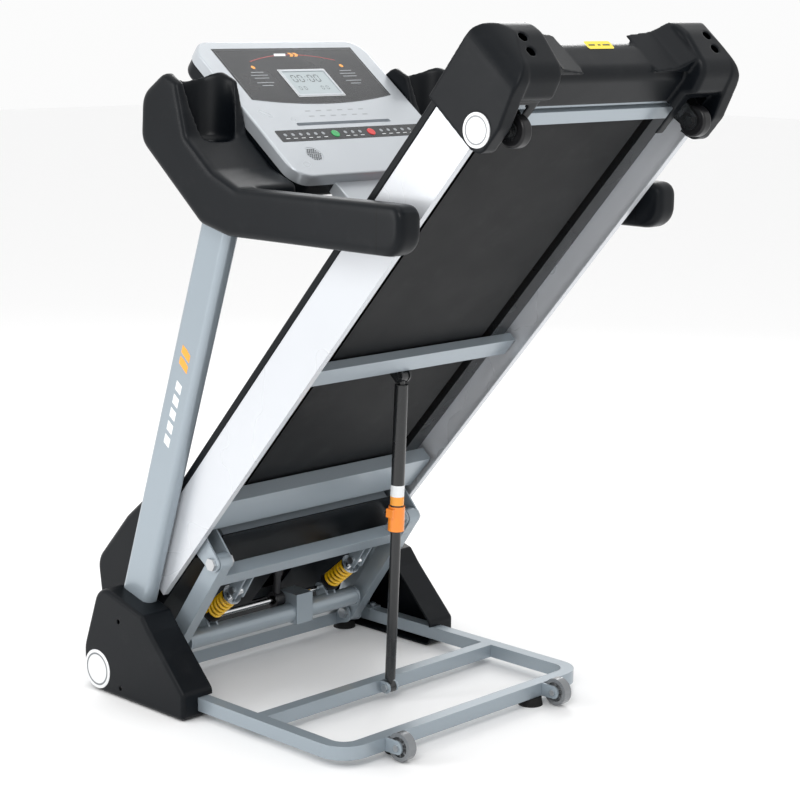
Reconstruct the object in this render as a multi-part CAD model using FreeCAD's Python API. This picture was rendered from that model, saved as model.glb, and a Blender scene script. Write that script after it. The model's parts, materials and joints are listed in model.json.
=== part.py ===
"""Folding treadmill, standing folded: base frame, uprights, console, deck, lift frame and gas strut.

Millimetres. +X is the user's right, +Y is forward (towards the motor end of the base), +Z is up.
The origin is the middle of the bounding box at floor level. The deck's own pieces are drawn level,
with the run of the belt along -Y, and are then tipped up into their folded place.
"""
import FreeCAD, Part

import math
import os

# ---- base frame -------------------------------------------------------------------------------
BASE_HALF_WIDTH = 360.0
BASE_LENGTH = 776.0
BASE_TUBE = 28.0
BASE_CORNER_RADIUS = 62.0
TUBE_WALL = 2.0
FOOT_HEIGHT = 17.0
FOOT_RADIUS = 26.0
REAR_FOOT_X = 198.0
FRONT_FOOT_X = 296.0
MID_TUBE_Y = 246.0
FRONT_TUBE_Y = 660.0

# ---- transport wheels on the rear rail --------------------------------------------------------
WHEEL_X = 232.0
WHEEL_RADIUS = 28.5
WHEEL_WIDTH = 20.0
WHEEL_BEHIND_RAIL = 31.0
WHEEL_FLOOR_GAP = 2.5
WHEEL_SIDE_GAP = 2.0
WHEEL_PLATE = 4.0
WHEEL_BOLT_RADIUS = 4.0

# ---- lift frame that carries the deck ---------------------------------------------------------
LIFT_PIVOT_Y = 634.0
LIFT_PIVOT_Z = 50.0
LIFT_ARM_ANGLE = 54.8
LIFT_ARM_LENGTH = 316.0
LIFT_ARM_X = 262.0
LIFT_ARM_WIDTH = 28.0
LIFT_ARM_DEPTH = 40.0
LIFT_CROSS_BELOW_PIVOT = 46.0
LIFT_CROSS_SIZE = 30.0
PIVOT_BOLT_RADIUS = 8.0
PLATE = 4.0
SIDE_GAP = 1.5

# ---- torque tube, shaft and shock absorbers ---------------------------------------------------
TORQUE_TUBE_UP_ARM = 62.0
TORQUE_TUBE_RADIUS = 21.0
TORQUE_TUBE_HALF = 246.0
JOURNAL_RADIUS = 9.0
SHAFT_FORWARD = 22.0
SHAFT_UP = 31.0
SHAFT_RADIUS = 6.0
SHAFT_HALF = 200.0
SHOCK_X = 175.0
SHOCK_LENGTH = 137.0
SHOCK_ANGLE = 38.7
SHOCK_EYE_RADIUS = 12.0
SHOCK_EYE_WIDTH = 16.0
SHOCK_CAN_RADIUS = 12.0
SHOCK_ROD_RADIUS = 6.0
SPRING_RADIUS = 20.0
SPRING_WIRE_RADIUS = 3.6
SPRING_TURNS = 6
BLOCK_X = 52.0
BLOCK_WIDTH = 48.0
ROD_EYE_PLAY = 5.0

# ---- gas strut --------------------------------------------------------------------------------
STRUT_FOOT_BEHIND_TUBE = 14.0
STRUT_ROD_RADIUS = 11.0
STRUT_TUBE_RADIUS = 14.0
STRUT_EYE_RADIUS = 12.0
STRUT_EYE_WIDTH = 16.0
STRUT_COLLAR_RADIUS = 17.0
STRUT_COLLAR_LENGTH = 52.0
STRUT_COLLAR_FROM_TOP = 273.0
STRUT_OVERLAP = 14.0
STRUT_TUBE_START = 18.0

# ---- deck -------------------------------------------------------------------------------------
DECK_ANGLE = 49.1
DECK_PIVOT_FROM_FRONT = 84.0
DECK_PIVOT_BELOW = 43.0
DECK_HALF_WIDTH = 316.0
SKIRT_HEIGHT = 104.0
SKIRT_WALL = 3.0
SKIRT_WEB_UP = 62.0
SKIRT_LIP = 14.0
TRIM_HEIGHT = 17.0
BELT_HALF_WIDTH = 216.0
BELT_THICKNESS = 2.5
ROLLER_RADIUS = 27.0
BELT_OVER_BOARD = 1.0
FRONT_ROLLER_AT = 45.0
REAR_ROLLER_AT = 1322.0
ROLLER_AXLE_RADIUS = 7.0
ROLLER_TUBE_WALL = 4.0
DECK_TUBE_X = 240.0
DECK_TUBE_WIDTH = 44.0
DECK_TUBE_HEIGHT = 38.0
DECK_TUBE_BOTTOM = 45.0
DECK_FRONT = -252.0
DECK_TUBE_END = 1345.0
BOARD_THICKNESS = 17.0
BOARD_START = 92.0
BOARD_END = 1284.0
CUSHION_HEIGHT = 4.0
MID_CROSS_AT = 553.0
MID_CROSS_WIDTH = 45.0
CROSS_DEPTH = 20.0
LOW_BAR_AT = 124.0
LOW_BAR_WIDTH = 92.0
REAR_CROSS_AT = 1239.0
REAR_CROSS_WIDTH = 30.0
CAP_START = 1219.0
CAP_END = 1362.0
HORN_END = 1408.0
CAP_HALF_WIDTH = 322.0
CAP_WALL = 4.0
HORN_WIDTH = 122.0
CAP_CHEEK_X = 290.0
CAP_ROUNDING = 10.0
CAP_CORNER_RADIUS = 58.0
CAP_BRIDGE_BOTTOM = 24.0
CAP_ARCH_END = 1284.0
DECK_WHEEL_AT = 1274.0
DECK_WHEEL_BELOW = 20.0
DECK_WHEEL_RADIUS = 30.0
DECK_WHEEL_WIDTH = 24.0
DECK_WHEEL_X = 258.0
CAP_DISC_RADIUS = 31.0
CAP_DISC_AT = 1255.0
CAP_DISC_UP = 5.0

# ---- drive, under the motor hood --------------------------------------------------------------
HOOD_HALF_WIDTH = 300.0
HOOD_WALL = 3.0
HOOD_BOTTOM = 22.0
HOOD_FRONT = -266.0
HOOD_REAR = 118.0
PAN_THICKNESS = 3.0
PAN_REAR = 112.0
MOTOR_AT = -148.0
MOTOR_HEIGHT = 70.0
MOTOR_RADIUS = 46.0
MOTOR_LENGTH = 170.0
PULLEY_WIDTH = 14.0
ROLLER_PULLEY_RADIUS = 38.0
MOTOR_PULLEY_RADIUS = 19.0
DRIVE_BELT = 3.0

# ---- uprights and their covers ----------------------------------------------------------------
UPRIGHT_LEAN = 18.5
UPRIGHT_FOOT_Y = 690.0
UPRIGHT_FOOT_Z = 50.0
UPRIGHT_LENGTH = 1096.0
UPRIGHT_DEPTH = 86.0
UPRIGHT_WIDTH = 36.0
UPRIGHT_CORNER = 15.0
UPRIGHT_WALL = 2.5
UPRIGHT_X = 321.0
COVER_INNER_X = 323.0
COVER_REACH = 40.0
COVER_WALL = 3.5
COVER_LOBE_Y = 705.0
COVER_LOBE_RADIUS = 47.0
COVER_DISC_RADIUS = 42.0
DISC_THICKNESS = 3.0
FIT = 1.0

# ---- handles ----------------------------------------------------------------------------------
HANDLE_OUTER_X = 395.0
ARM_INNER_X = 339.0
HANDLE_INNER_X = 238.0
ARM_TIP_Y = -172.0
ARM_BOTTOM_Z = 999.0
ARM_TOP_Z = 1092.0
CUP_X = 312.0
CUP_Y = 436.0
CUP_RIM_Z = 1172.0
CUP_RADIUS = 41.0
CUP_DEPTH = 74.0
CROSS_BAR_RADIUS = 19.0

# ---- console ----------------------------------------------------------------------------------
CONSOLE_TOP_Y = 582.0
CONSOLE_TOP_Z = 1356.0
CONSOLE_TILT = 37.6
CONSOLE_LENGTH = 410.0
CONSOLE_HALF_WIDTH = 236.0
CONSOLE_RADIUS = 44.0
BEZEL_DEPTH = 26.0
SHELL_DEPTH = 62.0
DARK_HALF_WIDTH = 196.0
DARK_TOP = 24.0
DARK_SIDE_LENGTH = 158.0
DARK_BOW = 20.0
OVERLAY = 1.2
LCD_HALF_WIDTH = 60.0
LCD_TOP = 99.0
LCD_LENGTH = 74.0
KEY_STRIP_TOP = 276.0
KEY_STRIP_LENGTH = 34.0
KEY_STRIP_HALF_WIDTH = 205.0
KEY_RADIUS = 10.0
KEY_X = 50.5
KEY_GAP = 0.5
SLOT_TOP = 256.0
SLOT_LENGTH = 9.0
SLOT_HALF_WIDTH = 132.0
SLOT_DEPTH = 7.0
SPEAKER_X = 151.0
SPEAKER_TOP = 349.0
SPEAKER_RADIUS = 21.0
TONGUE_HALF_WIDTH = 126.0
TONGUE_LENGTH = 92.0
TONGUE_DROP = 22.0

X_AXIS = FreeCAD.Vector(1, 0, 0)
Z_AXIS = FreeCAD.Vector(0, 0, 1)
SIDES = (("left", -1), ("right", 1))

# ---- places worked out from the sizes above ---------------------------------------------------
RAIL_TOP = FOOT_HEIGHT + BASE_TUBE
RAIL_INNER_X = BASE_HALF_WIDTH - BASE_TUBE
COVER_OUTER_X = BASE_HALF_WIDTH + COVER_REACH
BOARD_TOP = DECK_TUBE_BOTTOM + DECK_TUBE_HEIGHT + CUSHION_HEIGHT + BOARD_THICKNESS
ROLLER_HEIGHT = BOARD_TOP + BELT_OVER_BOARD - ROLLER_RADIUS
ARM_ANGLE_RAD = math.radians(LIFT_ARM_ANGLE)
DECK_PIVOT_Y = LIFT_PIVOT_Y - LIFT_ARM_LENGTH * math.cos(ARM_ANGLE_RAD)
DECK_PIVOT_Z = LIFT_PIVOT_Z + LIFT_ARM_LENGTH * math.sin(ARM_ANGLE_RAD)
TORQUE_Y = LIFT_PIVOT_Y - TORQUE_TUBE_UP_ARM * math.cos(ARM_ANGLE_RAD)
TORQUE_Z = LIFT_PIVOT_Z + TORQUE_TUBE_UP_ARM * math.sin(ARM_ANGLE_RAD)
SHAFT_Y = TORQUE_Y + SHAFT_FORWARD
SHAFT_Z = TORQUE_Z + SHAFT_UP
SHOCK_TOP_Y = SHAFT_Y - SHOCK_LENGTH * math.cos(math.radians(SHOCK_ANGLE))
SHOCK_TOP_Z = SHAFT_Z + SHOCK_LENGTH * math.sin(math.radians(SHOCK_ANGLE))
TRIM_TOP = SKIRT_HEIGHT + TRIM_HEIGHT
LIFT_ARM_OUTER_X = LIFT_ARM_X + LIFT_ARM_WIDTH
STRUT_FOOT_Y = MID_TUBE_Y - STRUT_FOOT_BEHIND_TUBE
STRUT_FOOT_Z = FOOT_HEIGHT + BASE_TUBE / 2
STRUT_HEAD_AT = MID_CROSS_AT - 15.0
STRUT_HEAD_UP = DECK_TUBE_BOTTOM - CROSS_DEPTH


# ---- helpers ----------------------------------------------------------------------------------
def vec(x, y, z):
    return FreeCAD.Vector(x, y, z)


def box(x0, x1, y0, y1, z0, z1):
    return Part.makeBox(x1 - x0, y1 - y0, z1 - z0, vec(x0, y0, z0))


def rod_x(x0, x1, y, z, radius):
    """A round bar along X."""
    return Part.makeCylinder(radius, x1 - x0, vec(x0, y, z), X_AXIS)


def tube_x(x0, x1, y, z, radius, bore):
    return rod_x(x0, x1, y, z, radius).cut(rod_x(x0 - 1, x1 + 1, y, z, bore))


def rounded_wire(corners):
    """A closed outline through (a, b, radius) corners, each rounded by an arc, in the XY plane."""
    count = len(corners)
    entry = []
    for i in range(count):
        here = vec(corners[i][0], corners[i][1], 0)
        before = vec(corners[i - 1][0], corners[i - 1][1], 0) - here
        after = vec(corners[(i + 1) % count][0], corners[(i + 1) % count][1], 0) - here
        before.normalize()
        after.normalize()
        radius = corners[i][2]
        half = before.getAngle(after) / 2
        reach = radius / math.tan(half)
        bisector = before + after
        bisector.normalize()
        middle = here + bisector * (radius / math.sin(half) - radius)
        entry.append((here + before * reach, middle, here + after * reach))
    edges = []
    for i in range(count):
        start, middle, end = entry[i]
        if corners[i][2] > 0:
            edges.append(Part.Arc(start, middle, end).toShape())
        following = entry[(i + 1) % count][0]
        if end.distanceToPoint(following) > 1e-6:
            edges.append(Part.LineSegment(end, following).toShape())
    return Part.Wire(edges)


def side_prism(corners, x0, x1):
    """Extrudes an outline of (y, z, radius) corners along X."""
    wire = rounded_wire(corners)
    wire.rotate(vec(0, 0, 0), vec(1, 1, 1), 120)
    face = Part.Face(wire)
    face.translate(vec(x0, 0, 0))
    return face.extrude(vec(x1 - x0, 0, 0))


def plan_prism(corners, z0, z1):
    """Extrudes an outline of (x, y, radius) corners along Z."""
    face = Part.Face(rounded_wire(corners))
    face.translate(vec(0, 0, z0))
    return face.extrude(vec(0, 0, z1 - z0))


def rectangle(x0, x1, y0, y1, radius):
    return [(x0, y0, radius), (x1, y0, radius), (x1, y1, radius), (x0, y1, radius)]


def fuse(shapes):
    first, rest = shapes[0], list(shapes[1:])
    return first.fuse(rest).removeSplitter() if rest else first


def group(shapes):
    return Part.makeCompound(list(shapes))


def mirrored(shape):
    return shape.mirror(vec(0, 0, 0), X_AXIS)


def on_side(shape, side):
    """A piece drawn for the right, or its mirror image for the left."""
    return shape if side > 0 else mirrored(shape)


def both_sides(shape):
    return group([shape, mirrored(shape)])


def turned_x(shape, y, z, degrees):
    """A copy turned about the X line through (y, z)."""
    copy = shape.copy()
    copy.rotate(vec(0, y, z), X_AXIS, degrees)
    return copy


def fillet_where(shape, radius, chosen):
    edges = [edge for edge in shape.Edges if chosen(edge)]
    return shape.makeFillet(radius, edges)


def is_at_x(x):
    """Chooses the edges that lie wholly in the plane at x."""
    return lambda edge: abs(edge.BoundBox.XMin - x) < 0.01 and abs(edge.BoundBox.XMax - x) < 0.01


def hex_head(x, y, z, across, height, direction):
    """A hexagon bolt head or nut whose seat is at x and which grows along direction on X."""
    corner = across / math.sqrt(3)
    points = []
    for i in range(7):
        angle = math.radians(60 * i)
        points.append(vec(x, y + corner * math.cos(angle), z + corner * math.sin(angle)))
    return Part.Face(Part.makePolygon(points)).extrude(vec(height * direction, 0, 0))


def bolt_x(x0, x1, y, z, radius):
    """A bolt along X that clamps from x0 to x1, with a head at each end."""
    shank = rod_x(x0, x1, y, z, radius)
    head = hex_head(x0, y, z, radius * 3, radius, -1)
    nut = hex_head(x1, y, z, radius * 3, radius, 1)
    return fuse([shank, head, nut])


def folded(shape):
    """Tips a level deck piece up into its folded place."""
    copy = shape.copy()
    copy.rotate(vec(0, 0, 0), X_AXIS, -DECK_ANGLE)
    copy.translate(vec(0, DECK_ORIGIN[0], DECK_ORIGIN[1]))
    return copy


def deck_to_base(along, up):
    """The (y, z) place of a deck point, given how far it is along the deck and above its skirts."""
    angle = math.radians(DECK_ANGLE)
    y = -along * math.cos(angle) + up * math.sin(angle)
    z = along * math.sin(angle) + up * math.cos(angle)
    return DECK_ORIGIN[0] + y, DECK_ORIGIN[1] + z


def deck_origin():
    """Where the deck's own origin lies, so that its pivot meets the lift frame's upper pivot."""
    angle = math.radians(DECK_ANGLE)
    y = -DECK_PIVOT_FROM_FRONT * math.cos(angle) - DECK_PIVOT_BELOW * math.sin(angle)
    z = DECK_PIVOT_FROM_FRONT * math.sin(angle) - DECK_PIVOT_BELOW * math.cos(angle)
    return DECK_PIVOT_Y - y, DECK_PIVOT_Z - z


DECK_ORIGIN = deck_origin()


def on_console(shape):
    """Lays a flat console piece, drawn with its top edge at Y 0 and its face at Z 0, on the tilt."""
    copy = shape.copy()
    copy.rotate(vec(0, 0, 0), X_AXIS, CONSOLE_TILT)
    copy.translate(vec(0, CONSOLE_TOP_Y, CONSOLE_TOP_Z))
    return copy


# ---- base frame -------------------------------------------------------------------------------
def base_side_rail():
    y0 = BASE_CORNER_RADIUS
    outer = box(RAIL_INNER_X, BASE_HALF_WIDTH, y0, BASE_LENGTH, FOOT_HEIGHT, RAIL_TOP)
    inner = box(RAIL_INNER_X + TUBE_WALL, BASE_HALF_WIDTH - TUBE_WALL, y0 - 1, BASE_LENGTH + 1,
                FOOT_HEIGHT + TUBE_WALL, RAIL_TOP - TUBE_WALL)
    return outer.cut(inner)


def rear_loop(half, start, radius, z0, z1):
    corners = [(half, BASE_CORNER_RADIUS, 0), (half, start, radius), (-half, start, radius),
               (-half, BASE_CORNER_RADIUS, 0)]
    return plan_prism(corners, z0, z1)


def base_rear_rail():
    outer_radius = BASE_CORNER_RADIUS - 1
    inner_radius = outer_radius - BASE_TUBE
    outer = rear_loop(BASE_HALF_WIDTH, 0, outer_radius, FOOT_HEIGHT, RAIL_TOP)
    return outer.cut(rear_loop(RAIL_INNER_X, BASE_TUBE, inner_radius, FOOT_HEIGHT - 1, RAIL_TOP + 1))


def base_cross_tube(y):
    outer = box(-RAIL_INNER_X, RAIL_INNER_X, y, y + BASE_TUBE, FOOT_HEIGHT, RAIL_TOP)
    inner = box(-RAIL_INNER_X - 1, RAIL_INNER_X + 1, y + TUBE_WALL, y + BASE_TUBE - TUBE_WALL,
                FOOT_HEIGHT + TUBE_WALL, RAIL_TOP - TUBE_WALL)
    return outer.cut(inner)


def base_feet():
    feet = []
    for x, y in ((REAR_FOOT_X, BASE_TUBE / 2), (FRONT_FOOT_X, FRONT_TUBE_Y + BASE_TUBE / 2)):
        foot = Part.makeCone(FOOT_RADIUS, FOOT_RADIUS - 3, FOOT_HEIGHT, vec(x, y, 0), Z_AXIS)
        feet += [foot, mirrored(foot)]
    return group(feet)


def pivot_bracket_plates():
    """Two cheeks each side that hold the lift arms' lower pivot on the front cross tube."""
    corners = [(FRONT_TUBE_Y, FOOT_HEIGHT + 2, 0), (FRONT_TUBE_Y, RAIL_TOP, 4),
               (LIFT_PIVOT_Y + 8, LIFT_PIVOT_Z + 17, 8), (LIFT_PIVOT_Y - 17, LIFT_PIVOT_Z + 17, 14),
               (LIFT_PIVOT_Y - 17, LIFT_PIVOT_Z - 19, 14)]
    plates = []
    for x in (LIFT_ARM_X - SIDE_GAP - PLATE, LIFT_ARM_OUTER_X + SIDE_GAP):
        plate = side_prism(corners, x, x + PLATE)
        bore = rod_x(x - 1, x + PLATE + 1, LIFT_PIVOT_Y, LIFT_PIVOT_Z, PIVOT_BOLT_RADIUS)
        plates.append(plate.cut(bore))
    return group(plates + [mirrored(plate) for plate in plates])


def lift_pivot_bolts():
    x0 = LIFT_ARM_X - SIDE_GAP - PLATE
    x1 = LIFT_ARM_OUTER_X + SIDE_GAP + PLATE
    return both_sides(bolt_x(x0, x1, LIFT_PIVOT_Y, LIFT_PIVOT_Z, PIVOT_BOLT_RADIUS))


def strut_foot_cheeks():
    half = STRUT_EYE_WIDTH / 2 + 1
    corners = [(MID_TUBE_Y, FOOT_HEIGHT + 2, 0), (MID_TUBE_Y, RAIL_TOP - 2, 0),
               (STRUT_FOOT_Y - 12, RAIL_TOP - 2, 11), (STRUT_FOOT_Y - 12, FOOT_HEIGHT + 2, 11)]
    cheek = side_prism(corners, half, half + PLATE)
    cheek = cheek.cut(rod_x(half - 1, half + PLATE + 1, STRUT_FOOT_Y, STRUT_FOOT_Z, 5))
    return both_sides(cheek)


def strut_foot_bolt():
    half = STRUT_EYE_WIDTH / 2 + 1 + PLATE
    return bolt_x(-half, half, STRUT_FOOT_Y, STRUT_FOOT_Z, 5)


def wheel_centre():
    return -WHEEL_BEHIND_RAIL, WHEEL_RADIUS + WHEEL_FLOOR_GAP


def wheel_plates():
    y, z = wheel_centre()
    plates = []
    near = WHEEL_X - WHEEL_WIDTH / 2 - WHEEL_SIDE_GAP - WHEEL_PLATE
    far = WHEEL_X + WHEEL_WIDTH / 2 + WHEEL_SIDE_GAP
    for x in (near, far):
        corners = [(0, FOOT_HEIGHT, 0), (0, RAIL_TOP, 0), (y - 13, RAIL_TOP, 13), (y - 13, z - 13, 12)]
        plate = side_prism(corners, x, x + WHEEL_PLATE)
        plates.append(plate.cut(rod_x(x - 1, x + WHEEL_PLATE + 1, y, z, WHEEL_BOLT_RADIUS)))
    return group(plates + [mirrored(plate) for plate in plates])


def wheel_bolts():
    y, z = wheel_centre()
    x0 = WHEEL_X - WHEEL_WIDTH / 2 - WHEEL_SIDE_GAP - WHEEL_PLATE
    x1 = WHEEL_X + WHEEL_WIDTH / 2 + WHEEL_SIDE_GAP + WHEEL_PLATE
    return both_sides(bolt_x(x0, x1, y, z, WHEEL_BOLT_RADIUS))


def spoked_wheel(x, y, z, radius, width, bore, spokes):
    """A wheel with a treaded rim, a hub and spokes, centred at x."""
    x0, x1 = x - width / 2, x + width / 2
    rim = tube_x(x0, x1, y, z, radius, radius - 8)
    hub = rod_x(x0, x1, y, z, bore + 6)
    web = [rim, hub]
    for i in range(spokes):
        spoke = box(x0 + 4, x1 - 4, y - 2, y + 2, z, z + radius - 6)
        web.append(turned_x(spoke, y, z, 360 * i / spokes))
    wheel = fuse(web)
    return wheel.cut(rod_x(x0 - 1, x1 + 1, y, z, bore))


def transport_wheel(side):
    y, z = wheel_centre()
    return spoked_wheel(WHEEL_X * side, y, z, WHEEL_RADIUS, WHEEL_WIDTH, WHEEL_BOLT_RADIUS + 0.05, 8)


# ---- uprights and base covers -----------------------------------------------------------------
def upright_outline(grow):
    """The tube's section across its own axis, grown by a margin."""
    x0, x1 = UPRIGHT_X - grow, UPRIGHT_X + UPRIGHT_WIDTH + grow
    half = UPRIGHT_DEPTH / 2 + grow
    return rectangle(x0, x1, -half, half, UPRIGHT_CORNER + grow)


def upright_bar(grow, start, length):
    """A length of the upright's section, stood at the foot and leaned back."""
    bar = plan_prism(upright_outline(grow), start, start + length)
    bar.rotate(vec(0, 0, 0), X_AXIS, UPRIGHT_LEAN)
    bar.translate(vec(0, UPRIGHT_FOOT_Y, UPRIGHT_FOOT_Z))
    return bar


def upright(side):
    bore = upright_bar(-UPRIGHT_WALL, -41, UPRIGHT_LENGTH + 60)
    tube = upright_bar(0, -40, UPRIGHT_LENGTH + 40).cut(bore)
    below = box(200, 500, 500, 900, -100, UPRIGHT_FOOT_Z)
    return on_side(fuse([tube.cut(below), upright_foot_plate()]), side)


def upright_foot_plate():
    """The plate welded under the upright, bolted down to the rail."""
    y0, y1 = UPRIGHT_FOOT_Y - 72, UPRIGHT_FOOT_Y + 48
    plate = box(UPRIGHT_X + 3, BASE_HALF_WIDTH, y0, y1, RAIL_TOP, UPRIGHT_FOOT_Z)
    heads = []
    for y in (y0 + 12, y1 - 12):
        x = RAIL_INNER_X + BASE_TUBE / 2
        heads.append(Part.makeCylinder(7, 6, vec(x, y, UPRIGHT_FOOT_Z), Z_AXIS))
    return fuse([plate] + heads)


def cover_profile(inset):
    """The base cover seen from the side: a round lobe in front, a long toe behind."""
    r = COVER_LOBE_RADIUS
    front = COVER_LOBE_Y + r
    return [(424 + inset, 2 + inset, 14 - inset), (424 + inset, 58 - inset, 16),
            (530 + inset, 166, 22), (556, 197 - inset, 8),
            (700 - inset, 236 - inset, 40), (front - inset, 92, 60),
            (front - inset, 2 + inset, r - 2 - inset)]


def base_cover(side):
    outer = side_prism(cover_profile(0), COVER_INNER_X, COVER_OUTER_X)
    outer = fillet_where(outer, 9, is_at_x(COVER_OUTER_X))
    inner = side_prism(cover_profile(COVER_WALL), COVER_INNER_X - 1, COVER_OUTER_X - COVER_WALL)
    shell = outer.cut(inner)
    rail_way = box(0, BASE_HALF_WIDTH + FIT, 0, BASE_LENGTH, FOOT_HEIGHT - FIT, RAIL_TOP + FIT)
    shell = shell.cut(rail_way)
    shell = shell.cut(upright_bar(FIT, 60, 400))
    disc_seat = rod_x(COVER_OUTER_X - 1.5, COVER_OUTER_X + 1,
                      COVER_LOBE_Y, cover_disc_z(), COVER_DISC_RADIUS)
    shell = shell.cut(disc_seat)
    for y, z in cover_screw_places():
        shell = shell.cut(rod_x(COVER_OUTER_X - COVER_WALL - 1, COVER_OUTER_X + 1, y, z, 5))
    return on_side(shell, side)


def cover_disc_z():
    return 2 + COVER_LOBE_RADIUS


def cover_screw_places():
    return ((632, 168), (628, 24))


def cover_discs():
    """A thin domed cap pressed on each base cover's front lobe."""
    disc = rod_x(COVER_OUTER_X - 1.5, COVER_OUTER_X - 1.5 + DISC_THICKNESS, COVER_LOBE_Y, cover_disc_z(),
                 COVER_DISC_RADIUS)
    disc = fillet_where(disc, 1.2, is_at_x(COVER_OUTER_X - 1.5 + DISC_THICKNESS))
    return both_sides(disc)


# ---- handles ----------------------------------------------------------------------------------
def hump_corners():
    return [(368, ARM_BOTTOM_Z + 18, 26), (546, 1166, 40), (540, 1258, 46),
            (474, 1302, 22), (432, 1284, 10),
            (404, 1180, 24), (330, 1120, 30)]


def handle_slab():
    """The outer slab: the arm that runs back to a rounded end and the side of the hump."""
    arm_end = [(262, ARM_TOP_Z, 30), (ARM_TIP_Y, ARM_TOP_Z, 26), (ARM_TIP_Y, ARM_BOTTOM_Z, 42)]
    corners = [(290, ARM_BOTTOM_Z, 30)] + hump_corners() + arm_end
    slab = side_prism(corners, ARM_INNER_X, HANDLE_OUTER_X)
    return slab.makeFillet(12, [e for e in slab.Edges if e.BoundBox.XLength < 0.01])


def handle_body():
    """The tall hump in front of the arm that carries the cup and stands beside the console."""
    corners = [(262, ARM_BOTTOM_Z + 3, 20)] + hump_corners() + [(262, ARM_TOP_Z, 10)]
    return side_prism(corners, HANDLE_INNER_X, HANDLE_OUTER_X - 20)


def cup_scoop():
    """The open bowl above the cup, cut into the hump's slope."""
    return Part.makeCone(CUP_RADIUS + 9, CUP_RADIUS + 30, 180, vec(CUP_X, CUP_Y, CUP_RIM_Z), Z_AXIS)


def handle(side):
    solid = fuse([handle_slab(), handle_body()])
    solid = solid.cut(cup_scoop())
    cup = Part.makeCylinder(CUP_RADIUS, CUP_DEPTH + 1, vec(CUP_X, CUP_Y, CUP_RIM_Z - CUP_DEPTH), Z_AXIS)
    solid = solid.cut(cup)
    solid = solid.cut(upright_bar(0.3, UPRIGHT_LENGTH - 400, 400.5))
    bar_hole = rod_x(HANDLE_INNER_X - 1, UPRIGHT_X, *cross_bar_place(), CROSS_BAR_RADIUS + 0.3)
    return on_side(solid.cut(bar_hole), side)


def upright_axis(distance):
    """The (y, z) of a point on the upright's axis, a distance up from its foot."""
    lean = math.radians(UPRIGHT_LEAN)
    return UPRIGHT_FOOT_Y - distance * math.sin(lean), UPRIGHT_FOOT_Z + distance * math.cos(lean)


def cross_bar_place():
    return upright_axis(UPRIGHT_LENGTH - 60)


def cross_bar():
    """The steel tube that ties the uprights together behind the console."""
    y, z = cross_bar_place()
    bar = tube_x(-UPRIGHT_X, UPRIGHT_X, y, z, CROSS_BAR_RADIUS, CROSS_BAR_RADIUS - TUBE_WALL)
    return fuse([bar] + console_posts())


# ---- console, drawn flat and then tilted ------------------------------------------------------
def console_plate(grow, z0, z1):
    half = CONSOLE_HALF_WIDTH + grow
    corners = rectangle(-half, half, -CONSOLE_LENGTH - grow, grow, CONSOLE_RADIUS + grow)
    return plan_prism(corners, z0, z1)


def dark_outline(grow, z0, z1):
    """The display overlay: square on top, bowed along its lower edge."""
    half = DARK_HALF_WIDTH + grow
    top = -DARK_TOP + grow
    side_end = -DARK_TOP - DARK_SIDE_LENGTH - grow
    low = side_end - DARK_BOW
    edges = [Part.LineSegment(vec(-half, side_end, z0), vec(-half, top, z0)).toShape(),
             Part.LineSegment(vec(-half, top, z0), vec(half, top, z0)).toShape(),
             Part.LineSegment(vec(half, top, z0), vec(half, side_end, z0)).toShape(),
             Part.Arc(vec(half, side_end, z0), vec(0, low, z0), vec(-half, side_end, z0)).toShape()]
    return Part.Face(Part.Wire(edges)).extrude(vec(0, 0, z1 - z0))


def key_strip_outline(grow, z0, z1):
    top = -KEY_STRIP_TOP
    return plan_prism(rectangle(-KEY_STRIP_HALF_WIDTH - grow, KEY_STRIP_HALF_WIDTH + grow,
                                top - KEY_STRIP_LENGTH - grow, top + grow, 4), z0, z1)


def lcd_box(grow, z0, z1):
    return box(-LCD_HALF_WIDTH - grow, LCD_HALF_WIDTH + grow, -LCD_TOP - LCD_LENGTH - grow,
               -LCD_TOP + grow, z0, z1)


def console_bezel():
    """The silver front moulding, with seats for the overlay, the keys, the slot and the speakers."""
    plate = console_plate(0, -BEZEL_DEPTH, 0)
    plate = fillet_where(plate, 5, lambda e: e.BoundBox.ZMin > -0.01)
    plate = plate.cut(console_plate(-6, -BEZEL_DEPTH - 1, -8))
    plate = plate.cut(dark_outline(0, -OVERLAY, 1))
    plate = plate.cut(key_strip_outline(0, -OVERLAY, 1))
    plate = plate.cut(lcd_box(0, -9, 1))
    slot = rectangle(-SLOT_HALF_WIDTH, SLOT_HALF_WIDTH, -SLOT_TOP - SLOT_LENGTH, -SLOT_TOP, 4)
    plate = plate.cut(plan_prism(slot, -SLOT_DEPTH, 1))
    for x, y in key_places():
        plate = plate.cut(Part.makeCylinder(KEY_RADIUS + KEY_GAP, 20, vec(x, y, -15), Z_AXIS))
    for side in (-1, 1):
        well = Part.makeCylinder(SPEAKER_RADIUS, 3, vec(SPEAKER_X * side, -SPEAKER_TOP, -2), Z_AXIS)
        plate = plate.cut(well)
    return on_console(plate)


def key_places():
    y = -KEY_STRIP_TOP - KEY_STRIP_LENGTH / 2
    return (-KEY_X, y), (KEY_X, y)


def display_overlay():
    sheet = dark_outline(-0.1, -OVERLAY, 0.3)
    return on_console(sheet.cut(lcd_box(0.0, -3, 2)))


def key_overlay():
    sheet = key_strip_outline(-0.1, -OVERLAY, 0.3)
    for x, y in key_places():
        sheet = sheet.cut(Part.makeCylinder(KEY_RADIUS + KEY_GAP, 6, vec(x, y, -3), Z_AXIS))
    return on_console(sheet)


def lcd_screen():
    return on_console(lcd_box(-0.1, -8, 0.2))


def lcd_frame():
    outer = fillet_vertical(lcd_box(4, 0.3, 1.6), 5)
    inner = fillet_vertical(lcd_box(-1, 0.2, 2), 2)
    return on_console(outer.cut(inner))


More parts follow.
